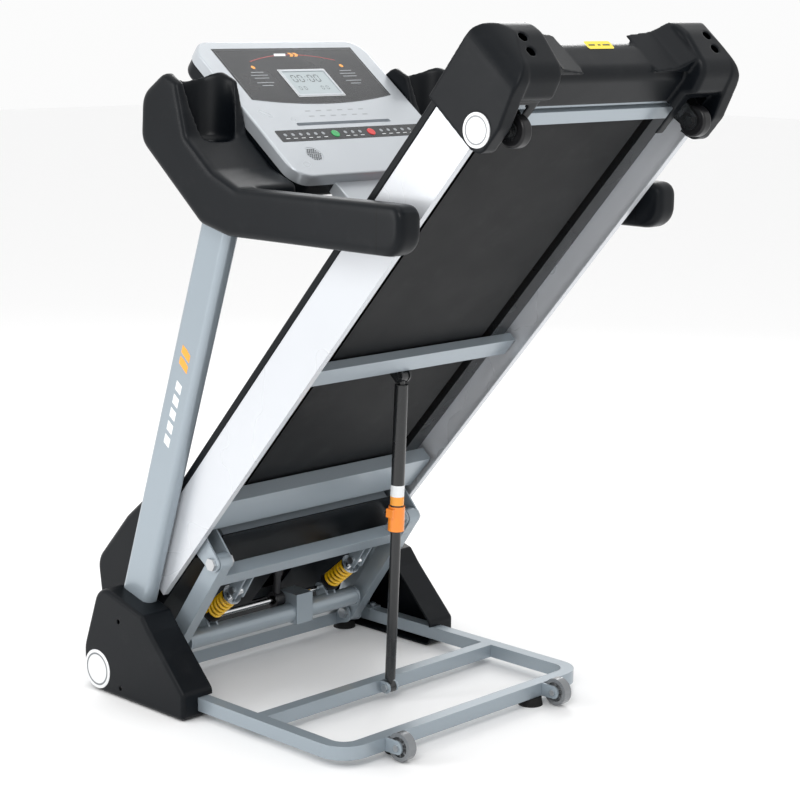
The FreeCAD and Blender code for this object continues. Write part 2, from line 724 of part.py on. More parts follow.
def fillet_vertical(shape, radius):
    height = shape.BoundBox.ZLength
    edges = [e for e in shape.Edges if abs(e.BoundBox.ZLength - height) < 0.01]
    return shape.makeFillet(radius, edges)


def console_key(place):
    """A domed round key on a stem, 1 mm of travel above its switch."""
    x, y = place
    dome = Part.makeCylinder(KEY_RADIUS, 8, vec(x, y, -6.5), Z_AXIS)
    dome = dome.makeFillet(1.2, [e for e in dome.Edges if e.BoundBox.ZMin > 1.4])
    return on_console(dome)


def speaker_grilles():
    """Two round plates full of small holes."""
    grilles = []
    for side in (-1, 1):
        x = SPEAKER_X * side
        plate = Part.makeCylinder(SPEAKER_RADIUS - 0.2, 1.6, vec(x, -SPEAKER_TOP, -2), Z_AXIS)
        for ring, count in ((5.5, 6), (10.5, 12), (15.5, 18)):
            for i in range(count):
                angle = 2 * math.pi * i / count
                place = vec(x + ring * math.cos(angle), -SPEAKER_TOP + ring * math.sin(angle), -3)
                plate = plate.cut(Part.makeCylinder(1.5, 4, place, Z_AXIS))
        grilles.append(plate)
    return on_console(group(grilles))


def console_shell():
    """The black moulding behind the bezel, hollow, closed at the back."""
    shell = console_plate(-2, -SHELL_DEPTH, -BEZEL_DEPTH)
    shell = fillet_where(shell, 12, lambda e: e.BoundBox.ZMax < -SHELL_DEPTH + 0.01)
    return on_console(shell.cut(console_plate(-6, -SHELL_DEPTH + 4, -BEZEL_DEPTH + 1)))


def console_posts():
    """Two straps that carry the console on the cross bar."""
    y, z = cross_bar_place()
    below_shell = on_console(box(-300, 300, -500, 100, -400, -SHELL_DEPTH))
    posts = []
    for x in (-150, 130):
        strap = box(x, x + 20, y - 12, y + 12, z + CROSS_BAR_RADIUS - 6, z + 200)
        posts.append(strap.common(below_shell))
    return posts


def console_tongue():
    """The silver tray that hangs from the console's lower edge and takes the safety key."""
    top = -CONSOLE_LENGTH + 30
    low = -CONSOLE_LENGTH - TONGUE_LENGTH
    corners = rectangle(-TONGUE_HALF_WIDTH, TONGUE_HALF_WIDTH, low, top, 12)
    tray = plan_prism(corners, -TONGUE_DROP - 26, -TONGUE_DROP)
    tray = fillet_where(tray, 3, lambda e: e.BoundBox.ZMin > -TONGUE_DROP - 0.01)
    tray = tray.cut(console_plate(0, -BEZEL_DEPTH, 1))
    tray = tray.cut(console_plate(-2, -SHELL_DEPTH - 1, -BEZEL_DEPTH))
    return on_console(tray.cut(safety_key_body(FIT, 5)))


def safety_key_body(grow, extra):
    y = -CONSOLE_LENGTH - TONGUE_LENGTH / 2 + 4
    corners = rectangle(-17 - grow, 17 + grow, y - 9 - grow, y + 9 + grow, 5)
    return plan_prism(corners, -TONGUE_DROP - 14, -TONGUE_DROP + 6 + extra)


def safety_key():
    y = -CONSOLE_LENGTH - TONGUE_LENGTH / 2 + 4
    grip = plan_prism(rectangle(-6, 6, y - 14, y + 14, 5), -TONGUE_DROP + 6, -TONGUE_DROP + 24)
    return on_console(fuse([safety_key_body(0, 0), grip]))


# ---- deck, drawn level ------------------------------------------------------------------------
def deck_box(x0, x1, along0, along1, up0, up1):
    return box(x0, x1, -along1, -along0, up0, up1)


def deck_skirts():
    """The white side rails: a tall wall with a lip below, a web to the long tube and a seat above."""
    x1 = DECK_HALF_WIDTH
    start, end = HOOD_REAR - 190, CAP_START + 20
    inner_x = DECK_TUBE_X + DECK_TUBE_WIDTH
    top = SKIRT_HEIGHT
    wall = deck_box(x1 - SKIRT_WALL, x1, start, end, 0, top)
    lip = deck_box(x1 - SKIRT_LIP, x1, start, CAP_START - FIT, 0, SKIRT_WALL)
    seat = deck_box(inner_x, x1, HOOD_REAR + 2, end, top - SKIRT_WALL, top)
    web = deck_box(inner_x, x1, HOOD_REAR + 2, end, SKIRT_WEB_UP, SKIRT_WEB_UP + SKIRT_WALL)
    return folded(both_sides(fuse([wall, lip, web, seat])))


def foot_trims():
    """The black treads that the runner straddles, one over each side rail."""
    x0, x1 = BELT_HALF_WIDTH + 3, DECK_HALF_WIDTH + 1.5
    trim = deck_box(x0, x1, HOOD_REAR - 14, CAP_START + 20, SKIRT_HEIGHT + 1, TRIM_TOP)
    trim = fillet_where(trim, 6, lambda e: e.BoundBox.ZMin > TRIM_TOP - 0.01 and e.BoundBox.XLength < 0.01)
    grooves = []
    for i in range(7):
        x = x0 + 18 + 10 * i
        grooves.append(deck_box(x, x + 3, HOOD_REAR, CAP_START, TRIM_TOP - 1, TRIM_TOP + 1))
    trim = trim.cut(grooves)
    return folded(both_sides(trim))


def deck_long_tubes():
    tube = deck_box(DECK_TUBE_X, DECK_TUBE_X + DECK_TUBE_WIDTH, DECK_FRONT, DECK_TUBE_END, DECK_TUBE_BOTTOM,
                    DECK_TUBE_BOTTOM + DECK_TUBE_HEIGHT)
    bore = deck_box(DECK_TUBE_X + TUBE_WALL, DECK_TUBE_X + DECK_TUBE_WIDTH - TUBE_WALL, DECK_FRONT - 1,
                    DECK_TUBE_END + 1, DECK_TUBE_BOTTOM + TUBE_WALL,
                    DECK_TUBE_BOTTOM + DECK_TUBE_HEIGHT - TUBE_WALL)
    return folded(both_sides(tube.cut(bore)))


def deck_cross_members():
    """The grey tubes and bars under the long tubes, and the two rails that stand on the motor pan."""
    half = DECK_HALF_WIDTH - SKIRT_LIP
    top = DECK_TUBE_BOTTOM
    mid = deck_box(-half, half, MID_CROSS_AT, MID_CROSS_AT + MID_CROSS_WIDTH, top - CROSS_DEPTH, top)
    low = deck_box(-half, half, LOW_BAR_AT, LOW_BAR_AT + LOW_BAR_WIDTH, top - CROSS_DEPTH - 12, top)
    low = low.cut(deck_box(-half - 1, half + 1, LOW_BAR_AT + 3, LOW_BAR_AT + LOW_BAR_WIDTH - 3,
                           top - CROSS_DEPTH - 9, top + 1))
    near = DECK_WHEEL_X - DECK_WHEEL_WIDTH / 2 - WHEEL_SIDE_GAP - PLATE
    rear_end = REAR_CROSS_AT + REAR_CROSS_WIDTH
    rear = deck_box(-near, near, REAR_CROSS_AT, rear_end, top - CROSS_DEPTH, top)
    plate = deck_box(-near, near, rear_end + 5, rear_end + 30, top - 14, top)
    rails = [deck_box(-DECK_TUBE_X, DECK_TUBE_X, start, start + 14, PAN_THICKNESS, top)
             for start in (DECK_FRONT + 2, PAN_REAR - 26)]
    return folded(group([mid, low, rear, plate] + rails))


def deck_cushions():
    """Rubber pads between the long tubes and the running board."""
    pads = []
    base = DECK_TUBE_BOTTOM + DECK_TUBE_HEIGHT
    x = DECK_TUBE_X + 12
    for along in (160, 380, 600, 820, 1040, 1240):
        pads.append(deck_box(x - 10, x + 10, along - 22, along + 22, base, base + CUSHION_HEIGHT))
    return folded(both_sides(group(pads)))


def running_board():
    base = DECK_TUBE_BOTTOM + DECK_TUBE_HEIGHT + CUSHION_HEIGHT
    half = DECK_TUBE_X + 26
    return folded(deck_box(-half, half, BOARD_START, BOARD_END, base, base + BOARD_THICKNESS))


def belt_loop(radius, half, front, rear, height):
    """A closed loop round two equal rollers, seen from the side and extruded across."""
    y0, y1 = -rear, -front
    loop = [box(-half, half, y0, y1, height - radius, height + radius),
            rod_x(-half, half, y0, height, radius), rod_x(-half, half, y1, height, radius)]
    return fuse(loop)


def running_belt():
    outer = belt_loop(ROLLER_RADIUS + BELT_THICKNESS, BELT_HALF_WIDTH, FRONT_ROLLER_AT, REAR_ROLLER_AT,
                      ROLLER_HEIGHT)
    inner = belt_loop(ROLLER_RADIUS + 0.05, BELT_HALF_WIDTH + 1,
                      FRONT_ROLLER_AT, REAR_ROLLER_AT, ROLLER_HEIGHT)
    return folded(outer.cut(inner))


def roller(along, pulley):
    """A crowned steel drum; the front one also carries the driven pulley."""
    y, z = -along, ROLLER_HEIGHT
    half = BELT_HALF_WIDTH + 3
    drum = [tube_x(-half, half, y, z, ROLLER_RADIUS, ROLLER_RADIUS - ROLLER_TUBE_WALL)]
    for x in (-half, half - 12):
        drum.append(rod_x(x, x + 12, y, z, ROLLER_RADIUS - ROLLER_TUBE_WALL))
    if pulley:
        drum.append(grooved_pulley(y, z, ROLLER_PULLEY_RADIUS))
    bore = rod_x(-400, 400, y, z, ROLLER_AXLE_RADIUS + 0.05)
    return folded(fuse(drum).cut(bore))


def pulley_x():
    return -BELT_HALF_WIDTH - 3 - PULLEY_WIDTH


def grooved_pulley(y, z, radius):
    x0 = pulley_x()
    pulley = rod_x(x0, x0 + PULLEY_WIDTH, y, z, radius)
    for i in range(4):
        x = x0 + 2 + i * 3
        groove = tube_x(x, x + 1.2, y, z, radius + 1, radius - 1.2)
        pulley = pulley.cut(groove)
    return pulley


def roller_axles():
    """Fixed axles in blocks bolted inside the long tubes, with the two belt tension bolts."""
    pieces = []
    for along in (FRONT_ROLLER_AT, REAR_ROLLER_AT):
        axle = rod_x(-DECK_TUBE_X - DECK_TUBE_WIDTH, DECK_TUBE_X + DECK_TUBE_WIDTH, -along, ROLLER_HEIGHT,
                     ROLLER_AXLE_RADIUS)
        pieces.append(axle)
    return folded(group(pieces))


def tension_bolts():
    """The screws at the rear that pull the rear roller back, reached through holes in the cap."""
    bolts = []
    x = DECK_TUBE_X + DECK_TUBE_WIDTH / 2
    y = -REAR_ROLLER_AT
    start = vec(x, y - ROLLER_AXLE_RADIUS - 1, ROLLER_HEIGHT - 6)
    shank = Part.makeCylinder(4, 34, start, vec(0, -1, 0))
    head = Part.makeCylinder(8, 9, start + vec(0, -34, 0), vec(0, -1, 0))
    bolts.append(fuse([shank, head]))
    return folded(both_sides(group(bolts)))


def deck_tubes_without_axles():
    """The long tubes, bored for the roller axles and open at the back for the tension screws."""
    tubes = deck_long_tubes()
    return tubes.cut(roller_axles())


def cap_prism(corners, inset, x0, x1, rounded_x):
    """A slice of the cap, with its outline inset by a wall or its end edges at rounded_x rounded."""
    if inset:
        corners = [(y + 9 if y == -CAP_START else y, z, r) for y, z, r in corners]
    wire = rounded_wire(corners)
    if inset:
        wire = wire.makeOffset2D(-inset)
    wire.rotate(vec(0, 0, 0), vec(1, 1, 1), 120)
    face = Part.Face(wire)
    face.translate(vec(x0, 0, 0))
    prism = face.extrude(vec(x1 - x0, 0, 0))
    if inset:
        return prism
    chosen = [e for e in prism.Edges if is_at_x(rounded_x)(e) and e.BoundBox.YMin < -CAP_START - 2]
    return prism.makeFillet(CAP_ROUNDING, chosen) if chosen else prism


def cap_plan(inset):
    """The cap's outline from above, with its two outer corners rounded off."""
    half, end = CAP_HALF_WIDTH - inset, -HORN_END + inset
    radius = CAP_CORNER_RADIUS - inset
    front = -CAP_START + 20
    corners = [(-half, end, radius), (half, end, radius), (half, front, 0), (-half, front, 0)]
    return plan_prism(corners, -100, 300)


def cap_gusset():
    """The hollow curve that leads from the horn's tip down to the bridge."""
    inner_x = CAP_HALF_WIDTH - HORN_WIDTH + CAP_WALL
    near = -CAP_END + CAP_WALL
    corners = [(inner_x, near, 0), (inner_x - 100, near, 0), (inner_x - 100, -CAP_END, 0),
               (inner_x - 36, -CAP_END - 9, 40), (inner_x, -HORN_END + 14, 0)]
    return plan_prism(corners, CAP_BRIDGE_BOTTOM, TRIM_TOP + 2)


def cap_pieces(inset):
    """The bridge over the rear roller, a horn on each side of it and a cheek outside each horn."""
    start, top = -CAP_START, TRIM_TOP + 6
    bottom, disc_at = CAP_BRIDGE_BOTTOM, CAP_DISC_AT
    low = CAP_DISC_UP - CAP_DISC_RADIUS - 5
    bridge = [(start, bottom, 0), (start, top - 2, 0), (-CAP_END, top - 2, 42), (-CAP_END, bottom, 24)]
    horn = [(start, 4, 0), (start, top, 0), (-HORN_END + 10, top + 7, 40), (-HORN_END, 80, 60),
            (-HORN_END + 16, -2, 36), (-HORN_END + 70, -14, 16), (-HORN_END + 88, 4, 8)]
    cheek = [(start, -5, 0), (start, top, 0), (-HORN_END + 10, top + 7, 40), (-HORN_END, 80, 60),
             (-HORN_END + 16, -4, 40), (-HORN_END + 64, -16, 20), (-disc_at - 36, low, 24),
             (-disc_at + 26, low, 20)]
    inner_x = CAP_HALF_WIDTH - HORN_WIDTH + inset
    outer_x = CAP_HALF_WIDTH - inset
    right = [cap_prism(horn, inset, inner_x, outer_x, inner_x),
             cap_prism(cheek, inset, CAP_CHEEK_X + inset, outer_x, 0)]
    if inset == 0:
        right.append(cap_gusset())
    across = [cap_prism(bridge, inset, -inner_x - 20, inner_x + 20, 0)]
    return fuse(across + right + [mirrored(piece) for piece in right]).common(cap_plan(inset))


def rear_cap():
    """The black end cap: a low bridge between two horns that hide the belt tension bolts."""
    cap = cap_pieces(0).cut(cap_pieces(CAP_WALL))
    inner_x = CAP_HALF_WIDTH - HORN_WIDTH
    arch = deck_box(-inner_x - CAP_WALL - 1, inner_x + CAP_WALL + 1, CAP_START - 1, CAP_ARCH_END, -10, 60)
    cap = cap.cut(arch)
    wheel_half = DECK_WHEEL_WIDTH / 2 + WHEEL_SIDE_GAP + PLATE + 10
    wheel_room = deck_box(DECK_WHEEL_X - wheel_half, DECK_WHEEL_X + wheel_half, CAP_START - 1,
                          DECK_WHEEL_AT + DECK_WHEEL_RADIUS + 5, -70, 20)
    x = DECK_TUBE_X + DECK_TUBE_WIDTH / 2
    for side in (-1, 1):
        cap = cap.cut(on_side(wheel_room, side))
        for up in (ROLLER_HEIGHT - 6, ROLLER_HEIGHT - 36):
            cap = cap.cut(Part.makeCylinder(9, 60, vec(x * side, -HORN_END + 40, up), vec(0, -1, 0)))
        seat = rod_x(CAP_HALF_WIDTH - 1, CAP_HALF_WIDTH + 1, -CAP_DISC_AT, CAP_DISC_UP, CAP_DISC_RADIUS)
        cap = cap.cut(on_side(seat, side))
    return folded(cap)


def cap_discs():
    disc = rod_x(CAP_HALF_WIDTH - 1, CAP_HALF_WIDTH + 2, -CAP_DISC_AT, CAP_DISC_UP, CAP_DISC_RADIUS)
    disc = fillet_where(disc, 1.2, is_at_x(CAP_HALF_WIDTH + 2))
    return folded(both_sides(disc))


def deck_wheel_plates():
    """Rounded ears under the rear of the long tubes that hold the deck's rear wheels."""
    y, z = -DECK_WHEEL_AT, -DECK_WHEEL_BELOW
    plates = []
    near = DECK_WHEEL_X - DECK_WHEEL_WIDTH / 2 - WHEEL_SIDE_GAP - PLATE
    far = DECK_WHEEL_X + DECK_WHEEL_WIDTH / 2 + WHEEL_SIDE_GAP
    for x in (near, far):
        corners = [(y + 26, DECK_TUBE_BOTTOM, 0), (y - 26, DECK_TUBE_BOTTOM, 0), (y - 15, z - 15, 14.5),
                   (y + 15, z - 15, 14.5)]
        plate = side_prism(corners, x, x + PLATE)
        plates.append(plate.cut(rod_x(x - 1, x + PLATE + 1, y, z, WHEEL_BOLT_RADIUS + 2)))
    bolt = bolt_x(near, far + PLATE, y, z, WHEEL_BOLT_RADIUS + 2)
    return folded(both_sides(group(plates + [bolt])))


def deck_wheel(side):
    x = DECK_WHEEL_X * side
    wheel = rod_x(x - DECK_WHEEL_WIDTH / 2, x + DECK_WHEEL_WIDTH / 2, -DECK_WHEEL_AT, -DECK_WHEEL_BELOW,
                  DECK_WHEEL_RADIUS)
    wheel = wheel.makeFillet(5, wheel.Edges[:1] + wheel.Edges[2:3])
    bore = rod_x(x - 30, x + 30, -DECK_WHEEL_AT, -DECK_WHEEL_BELOW, WHEEL_BOLT_RADIUS + 2.05)
    return folded(wheel.cut(bore))


# ---- drive ------------------------------------------------------------------------------------
def hood_profile(inset):
    """The motor hood from the side, blunt in front and sloping down over the belt behind."""
    return [(-HOOD_REAR + inset, HOOD_BOTTOM - 1, 0), (-HOOD_FRONT - inset, HOOD_BOTTOM - 1, 0),
            (-HOOD_FRONT - inset, 146, 40), (-HOOD_FRONT - 52, 206 - inset, 50), (60, 202 - inset, 60),
            (-30, 186 - inset, 60), (-HOOD_REAR + inset, TRIM_TOP + 8 - inset, 20)]


def motor_hood():
    outer = side_prism(hood_profile(0), -HOOD_HALF_WIDTH, HOOD_HALF_WIDTH)
    top = [e for e in outer.Edges if e.BoundBox.ZMax > HOOD_BOTTOM + 2 and e.BoundBox.XLength < 0.01
           and e.BoundBox.ZMin > HOOD_BOTTOM + 20]
    outer = outer.makeFillet(12, top)
    inner = side_prism(hood_profile(HOOD_WALL), -HOOD_HALF_WIDTH + HOOD_WALL, HOOD_HALF_WIDTH - HOOD_WALL)
    hood = outer.cut(inner)
    floor = deck_box(-HOOD_HALF_WIDTH - 1, HOOD_HALF_WIDTH + 1,
                     HOOD_FRONT - 1, HOOD_REAR + 1, 0, HOOD_BOTTOM)
    mouth = deck_box(-DECK_HALF_WIDTH, DECK_HALF_WIDTH, HOOD_REAR - 30, HOOD_REAR + 1, 0, TRIM_TOP + 1)
    return folded(hood.cut(floor).cut(mouth))


def motor_pan():
    """The tray under the motor, with turned-up sides and a slot for the incline rod."""
    half = HOOD_HALF_WIDTH - HOOD_WALL
    front, rear = HOOD_FRONT + HOOD_WALL, PAN_REAR
    outer = deck_box(-half, half, front, rear, 0, HOOD_BOTTOM + 12)
    inner = deck_box(-half + PAN_THICKNESS, half - PAN_THICKNESS,
                     front + PAN_THICKNESS, rear + 1, PAN_THICKNESS, 90)
    slot = deck_box(2, 62, -200, -70, -1, 10)
    ear_room = deck_box(LIFT_ARM_X - SIDE_GAP - PLATE - 2, half + 1,
                        DECK_PIVOT_FROM_FRONT - 34, rear + 1, -1, 60)
    return folded(outer.cut(inner).cut(slot).cut(ear_room).cut(mirrored(ear_room)))


def drive_motor():
    """The motor's case with its end bells and feet."""
    y, z = -MOTOR_AT, MOTOR_HEIGHT
    x0 = pulley_x() + PULLEY_WIDTH + 14
    case = rod_x(x0, x0 + MOTOR_LENGTH, y, z, MOTOR_RADIUS)
    bells = [rod_x(x0 - 8, x0, y, z, MOTOR_RADIUS - 8),
             rod_x(x0 + MOTOR_LENGTH, x0 + MOTOR_LENGTH + 10, y, z, 30)]
    feet = [box(x, x + 22, y - 34, y + 34, PAN_THICKNESS, z - MOTOR_RADIUS + 10)
            for x in (x0 + 20, x0 + 120)]
    motor = fuse([case] + bells + feet)
    motor = motor.cut(rod_x(x0 - 20, x0 + 40, y, z, 8.05))
    return folded(motor)


def motor_rotor():
    """The shaft with its pulley."""
    y, z = -MOTOR_AT, MOTOR_HEIGHT
    x0 = pulley_x()
    shaft = rod_x(x0 - 4, x0 + PULLEY_WIDTH + 48, y, z, 8)
    return folded(fuse([grooved_pulley(y, z, MOTOR_PULLEY_RADIUS), shaft]))


def drive_belt_loop(grow, x0, x1):
    """The outline of the belt round both pulleys, as two discs and the quadrilateral between them."""
    y_a, z_a, r_a = -FRONT_ROLLER_AT, ROLLER_HEIGHT, ROLLER_PULLEY_RADIUS + grow
    y_b, z_b, r_b = -MOTOR_AT, MOTOR_HEIGHT, MOTOR_PULLEY_RADIUS + grow
    gap = math.hypot(y_b - y_a, z_b - z_a)
    heading = math.atan2(z_b - z_a, y_b - y_a)
    open_angle = math.acos((r_a - r_b) / gap)
    points = []
    for turn in (open_angle, -open_angle):
        angle = heading + turn
        near = vec(x0, y_a + r_a * math.cos(angle), z_a + r_a * math.sin(angle))
        far = vec(x0, y_b + r_b * math.cos(angle), z_b + r_b * math.sin(angle))
        points += [near, far] if turn > 0 else [far, near]
    span = Part.Face(Part.makePolygon(points + points[:1])).extrude(vec(x1 - x0, 0, 0))
    return fuse([span, rod_x(x0, x1, y_a, z_a, r_a), rod_x(x0, x1, y_b, z_b, r_b)])


def drive_belt():
    x0 = pulley_x() + 1
    x1 = x0 + PULLEY_WIDTH - 2
    outer = drive_belt_loop(DRIVE_BELT, x0, x1)
    return folded(outer.cut(drive_belt_loop(0.05, x0 - 1, x1 + 1)))


def controller():
    """The motor controller: a board in a folded tray with a finned heat sink."""
    tray = deck_box(100, 210, -212, -78, PAN_THICKNESS, PAN_THICKNESS + 22)
    fins = [deck_box(104 + 9 * i, 107 + 9 * i, -206, -84, PAN_THICKNESS + 22, PAN_THICKNESS + 46)
            for i in range(12)]
    return folded(fuse([tray] + fins))


# ---- lift frame -------------------------------------------------------------------------------
def arm_frame(shape):
    """Takes a piece drawn along +Z from the lower pivot and leans it along the lift arm."""
    copy = shape.copy()
    copy.rotate(vec(0, 0, 0), X_AXIS, 90 - LIFT_ARM_ANGLE)
    copy.translate(vec(0, LIFT_PIVOT_Y, LIFT_PIVOT_Z))
    return copy


def lift_arm():
    half = LIFT_ARM_DEPTH / 2
    x0, x1 = LIFT_ARM_X, LIFT_ARM_OUTER_X
    corners = rectangle(-half, half, -half, LIFT_ARM_LENGTH + half, half - 0.2)
    bar = side_prism(corners, x0, x1)
    for height, radius in ((0, PIVOT_BOLT_RADIUS + 0.05), (LIFT_ARM_LENGTH, PIVOT_BOLT_RADIUS),
                           (TORQUE_TUBE_UP_ARM, JOURNAL_RADIUS + 0.05)):
        bar = bar.cut(rod_x(x0 - 1, x1 + 1, 0, height, radius))
    return arm_frame(bar)


def lift_cross_tube():
    """The tube that joins the arms under the deck, with the tabs that take the shocks' upper bolts."""
    half = LIFT_CROSS_SIZE / 2
    height = LIFT_ARM_LENGTH - LIFT_CROSS_BELOW_PIVOT
    cross = arm_frame(box(-LIFT_ARM_X, LIFT_ARM_X, -half, half, height - half, height + half))
    tabs = shock_tabs()
    return fuse([cross] + tabs + [mirrored(tab) for tab in tabs])


def lift_cross_place():
    height = LIFT_ARM_LENGTH - LIFT_CROSS_BELOW_PIVOT
    y = LIFT_PIVOT_Y - height * math.cos(ARM_ANGLE_RAD)
    return y, LIFT_PIVOT_Z + height * math.sin(ARM_ANGLE_RAD)


def deck_pivot_ears():
    """Ear plates that hang from the deck's long tubes and take the lift frame's upper bolts."""
    along, up = DECK_PIVOT_FROM_FRONT, -DECK_PIVOT_BELOW
    ears = []
    inner = LIFT_ARM_X - SIDE_GAP - PLATE
    for x in (inner, LIFT_ARM_OUTER_X + SIDE_GAP):
        corners = [(-along + 30, DECK_TUBE_BOTTOM, 0), (-along - 30, DECK_TUBE_BOTTOM, 0),
                   (-along - 17, up - 17, 16.5), (-along + 17, up - 17, 16.5)]
        ear = side_prism(corners, x, x + PLATE)
        ears.append(ear.cut(rod_x(x - 1, x + PLATE + 1, -along, up, PIVOT_BOLT_RADIUS)))
    outer_x = LIFT_ARM_OUTER_X + SIDE_GAP
    shelf = deck_box(DECK_TUBE_X + DECK_TUBE_WIDTH, outer_x + PLATE, along - 30, along + 30,
                     DECK_TUBE_BOTTOM, DECK_TUBE_BOTTOM + PLATE)
    ears.append(shelf)
    return folded(both_sides(group(ears)))


def deck_pivot_bolts():
    x0 = LIFT_ARM_X - SIDE_GAP - PLATE
    x1 = LIFT_ARM_OUTER_X + SIDE_GAP + PLATE
    return both_sides(bolt_x(x0, x1, DECK_PIVOT_Y, DECK_PIVOT_Z, PIVOT_BOLT_RADIUS))


def shock_tabs():
    """Plates that hang from the lift frame's cross tube and take the shocks' upper bolts."""
    y, z = lift_cross_place()
    tabs = []
    for x in (SHOCK_X - SHOCK_EYE_WIDTH / 2 - 1 - PLATE, SHOCK_X + SHOCK_EYE_WIDTH / 2 + 1):
        dy, dz = SHOCK_TOP_Y - y, SHOCK_TOP_Z - z
        reach = math.hypot(dy, dz)
        tab = side_prism(rectangle(-14, 14, 0, reach + 14, 4), x, x + PLATE)
        tab.rotate(vec(0, 0, 0), X_AXIS, -math.degrees(math.atan2(dy, dz)))
        tab.translate(vec(0, y, z))
        tabs.append(tab.cut(rod_x(x - 1, x + PLATE + 1, SHOCK_TOP_Y, SHOCK_TOP_Z, 5)))
    return tabs


def shock_bolts():
    x0 = SHOCK_X - SHOCK_EYE_WIDTH / 2 - 1 - PLATE
    x1 = SHOCK_X + SHOCK_EYE_WIDTH / 2 + 1 + PLATE
    return both_sides(bolt_x(x0, x1, SHOCK_TOP_Y, SHOCK_TOP_Z, 5))


# ---- torque tube and shocks -------------------------------------------------------------------
def torque_tube():
    """The tube that turns between the lift arms, with its block and the lugs for the shaft."""
    y, z = TORQUE_Y, TORQUE_Z
    pieces = [rod_x(-TORQUE_TUBE_HALF, TORQUE_TUBE_HALF, y, z, TORQUE_TUBE_RADIUS)]
    for side in (-1, 1):
        flange = rod_x(TORQUE_TUBE_HALF, TORQUE_TUBE_HALF + 4, y, z, TORQUE_TUBE_RADIUS + 3)
        pieces.append(on_side(flange, side))
        pieces.append(on_side(rod_x(TORQUE_TUBE_HALF, LIFT_ARM_OUTER_X - 1, y, z, JOURNAL_RADIUS), side))
    low, high = z - TORQUE_TUBE_RADIUS - 2, SHAFT_Z + 14
    pieces.append(box(BLOCK_X, BLOCK_X + BLOCK_WIDTH, y - 24, SHAFT_Y + 14, low, high))
    lugs = shaft_lugs()
    tube = fuse(pieces + lugs + [mirrored(lug) for lug in lugs])
    return tube.cut(rod_x(-300, 300, SHAFT_Y, SHAFT_Z, SHAFT_RADIUS))


def shaft_lugs():
    """Black lugs on the torque tube, a pair for each shock."""
    lugs = []
    for x in (SHOCK_X - SHOCK_EYE_WIDTH / 2 - 1 - 5, SHOCK_X + SHOCK_EYE_WIDTH / 2 + 1):
        corners = [(TORQUE_Y - 24, TORQUE_Z - 6, 6), (TORQUE_Y + 26, TORQUE_Z - 6, 6),
                   (SHAFT_Y + 13, SHAFT_Z + 13, 12), (SHAFT_Y - 13, SHAFT_Z + 13, 12)]
        lugs.append(side_prism(corners, x, x + 5))
    return lugs


def torque_shaft():
    return rod_x(-SHAFT_HALF, SHAFT_HALF, SHAFT_Y, SHAFT_Z, SHAFT_RADIUS)


def along_shock(shape):
    """Takes a piece drawn along +Z from the upper bolt down to the shaft and lays it in place."""
    copy = shape.copy()
    copy.rotate(vec(0, 0, 0), X_AXIS, -90 - SHOCK_ANGLE)
    copy.translate(vec(0, SHOCK_TOP_Y, SHOCK_TOP_Z))
    return copy


def shock_eye(height):
    return rod_x(SHOCK_X - SHOCK_EYE_WIDTH / 2, SHOCK_X + SHOCK_EYE_WIDTH / 2, 0, height, SHOCK_EYE_RADIUS)


def disc_z(radius, z0, z1):
    return Part.makeCylinder(radius, z1 - z0, vec(SHOCK_X, 0, z0), Z_AXIS)


def shock_rods():
    """The upper half of each shock: eye, spring seat and chrome rod."""
    rod = fuse([shock_eye(0), disc_z(7, 8, 24), disc_z(SPRING_RADIUS + 2, 22, 26),
                disc_z(SHOCK_ROD_RADIUS, 24, 84)])
    rod = rod.cut(rod_x(SHOCK_X - 20, SHOCK_X + 20, 0, 0, 5.05))
    return both_sides(along_shock(rod))


def shock_cans():
    """The lower half of each shock: eye, damper body and spring seat."""
    length = SHOCK_LENGTH
    can = fuse([shock_eye(length), disc_z(9, length - 22, length - 8),
                disc_z(SHOCK_CAN_RADIUS, 62, length - 20),
                disc_z(SPRING_RADIUS + 2, length - 30, length - 26)])
    can = can.cut(disc_z(SHOCK_ROD_RADIUS + 0.05, 61, 100))
    can = can.cut(rod_x(SHOCK_X - 20, SHOCK_X + 20, 0, length, SHAFT_RADIUS + 0.3))
    return both_sides(along_shock(can))


def shock_springs():
    """A coil spring between the two seats of each shock."""
    z0, z1 = 26 + SPRING_WIRE_RADIUS + 0.1, SHOCK_LENGTH - 30 - SPRING_WIRE_RADIUS - 0.1
    radius = SPRING_RADIUS - SPRING_WIRE_RADIUS
    helix = Part.makeHelix((z1 - z0) / SPRING_TURNS, z1 - z0, radius)
    start = Part.Wire(Part.makeCircle(SPRING_WIRE_RADIUS, vec(radius, 0, 0), vec(0, 1, 0)))
    coil = Part.Wire(helix.Edges).makePipeShell([start], True, True)
    coil.translate(vec(SHOCK_X, 0, z0))
    return both_sides(along_shock(coil))


def incline_motor():
    """The incline motor in the motor bay and its screw, which reaches the torque tube's shaft."""
    x = 32
    head_y, head_z = deck_to_base(-52, 52)
    dy, dz = SHAFT_Y - head_y, SHAFT_Z - head_z
    reach = math.hypot(dy, dz)
    gearbox = Part.makeCylinder(26, 44, vec(x, 0, -22), Z_AXIS)
    sleeve = Part.makeCylinder(13, reach * 0.5, vec(x, 0, 10), Z_AXIS)
    screw = Part.makeCylinder(9, reach - 24, vec(x, 0, 10), Z_AXIS)
    bore = rod_x(x - 13, x + 13, 0, reach, SHAFT_RADIUS + ROD_EYE_PLAY)
    eye = rod_x(x - 12, x + 12, 0, reach, 17).cut(bore)
    motor = fuse([gearbox, sleeve, screw]).cut(rod_x(x - 30, x + 30, 0, reach, 16))
    motor = fuse([motor, eye])
    motor.rotate(vec(0, 0, 0), X_AXIS, -math.degrees(math.atan2(dy, dz)))
    motor.translate(vec(0, head_y, head_z))
    return motor


# ---- gas strut --------------------------------------------------------------------------------
def strut_head_place():
    return deck_to_base(STRUT_HEAD_AT, STRUT_HEAD_UP)


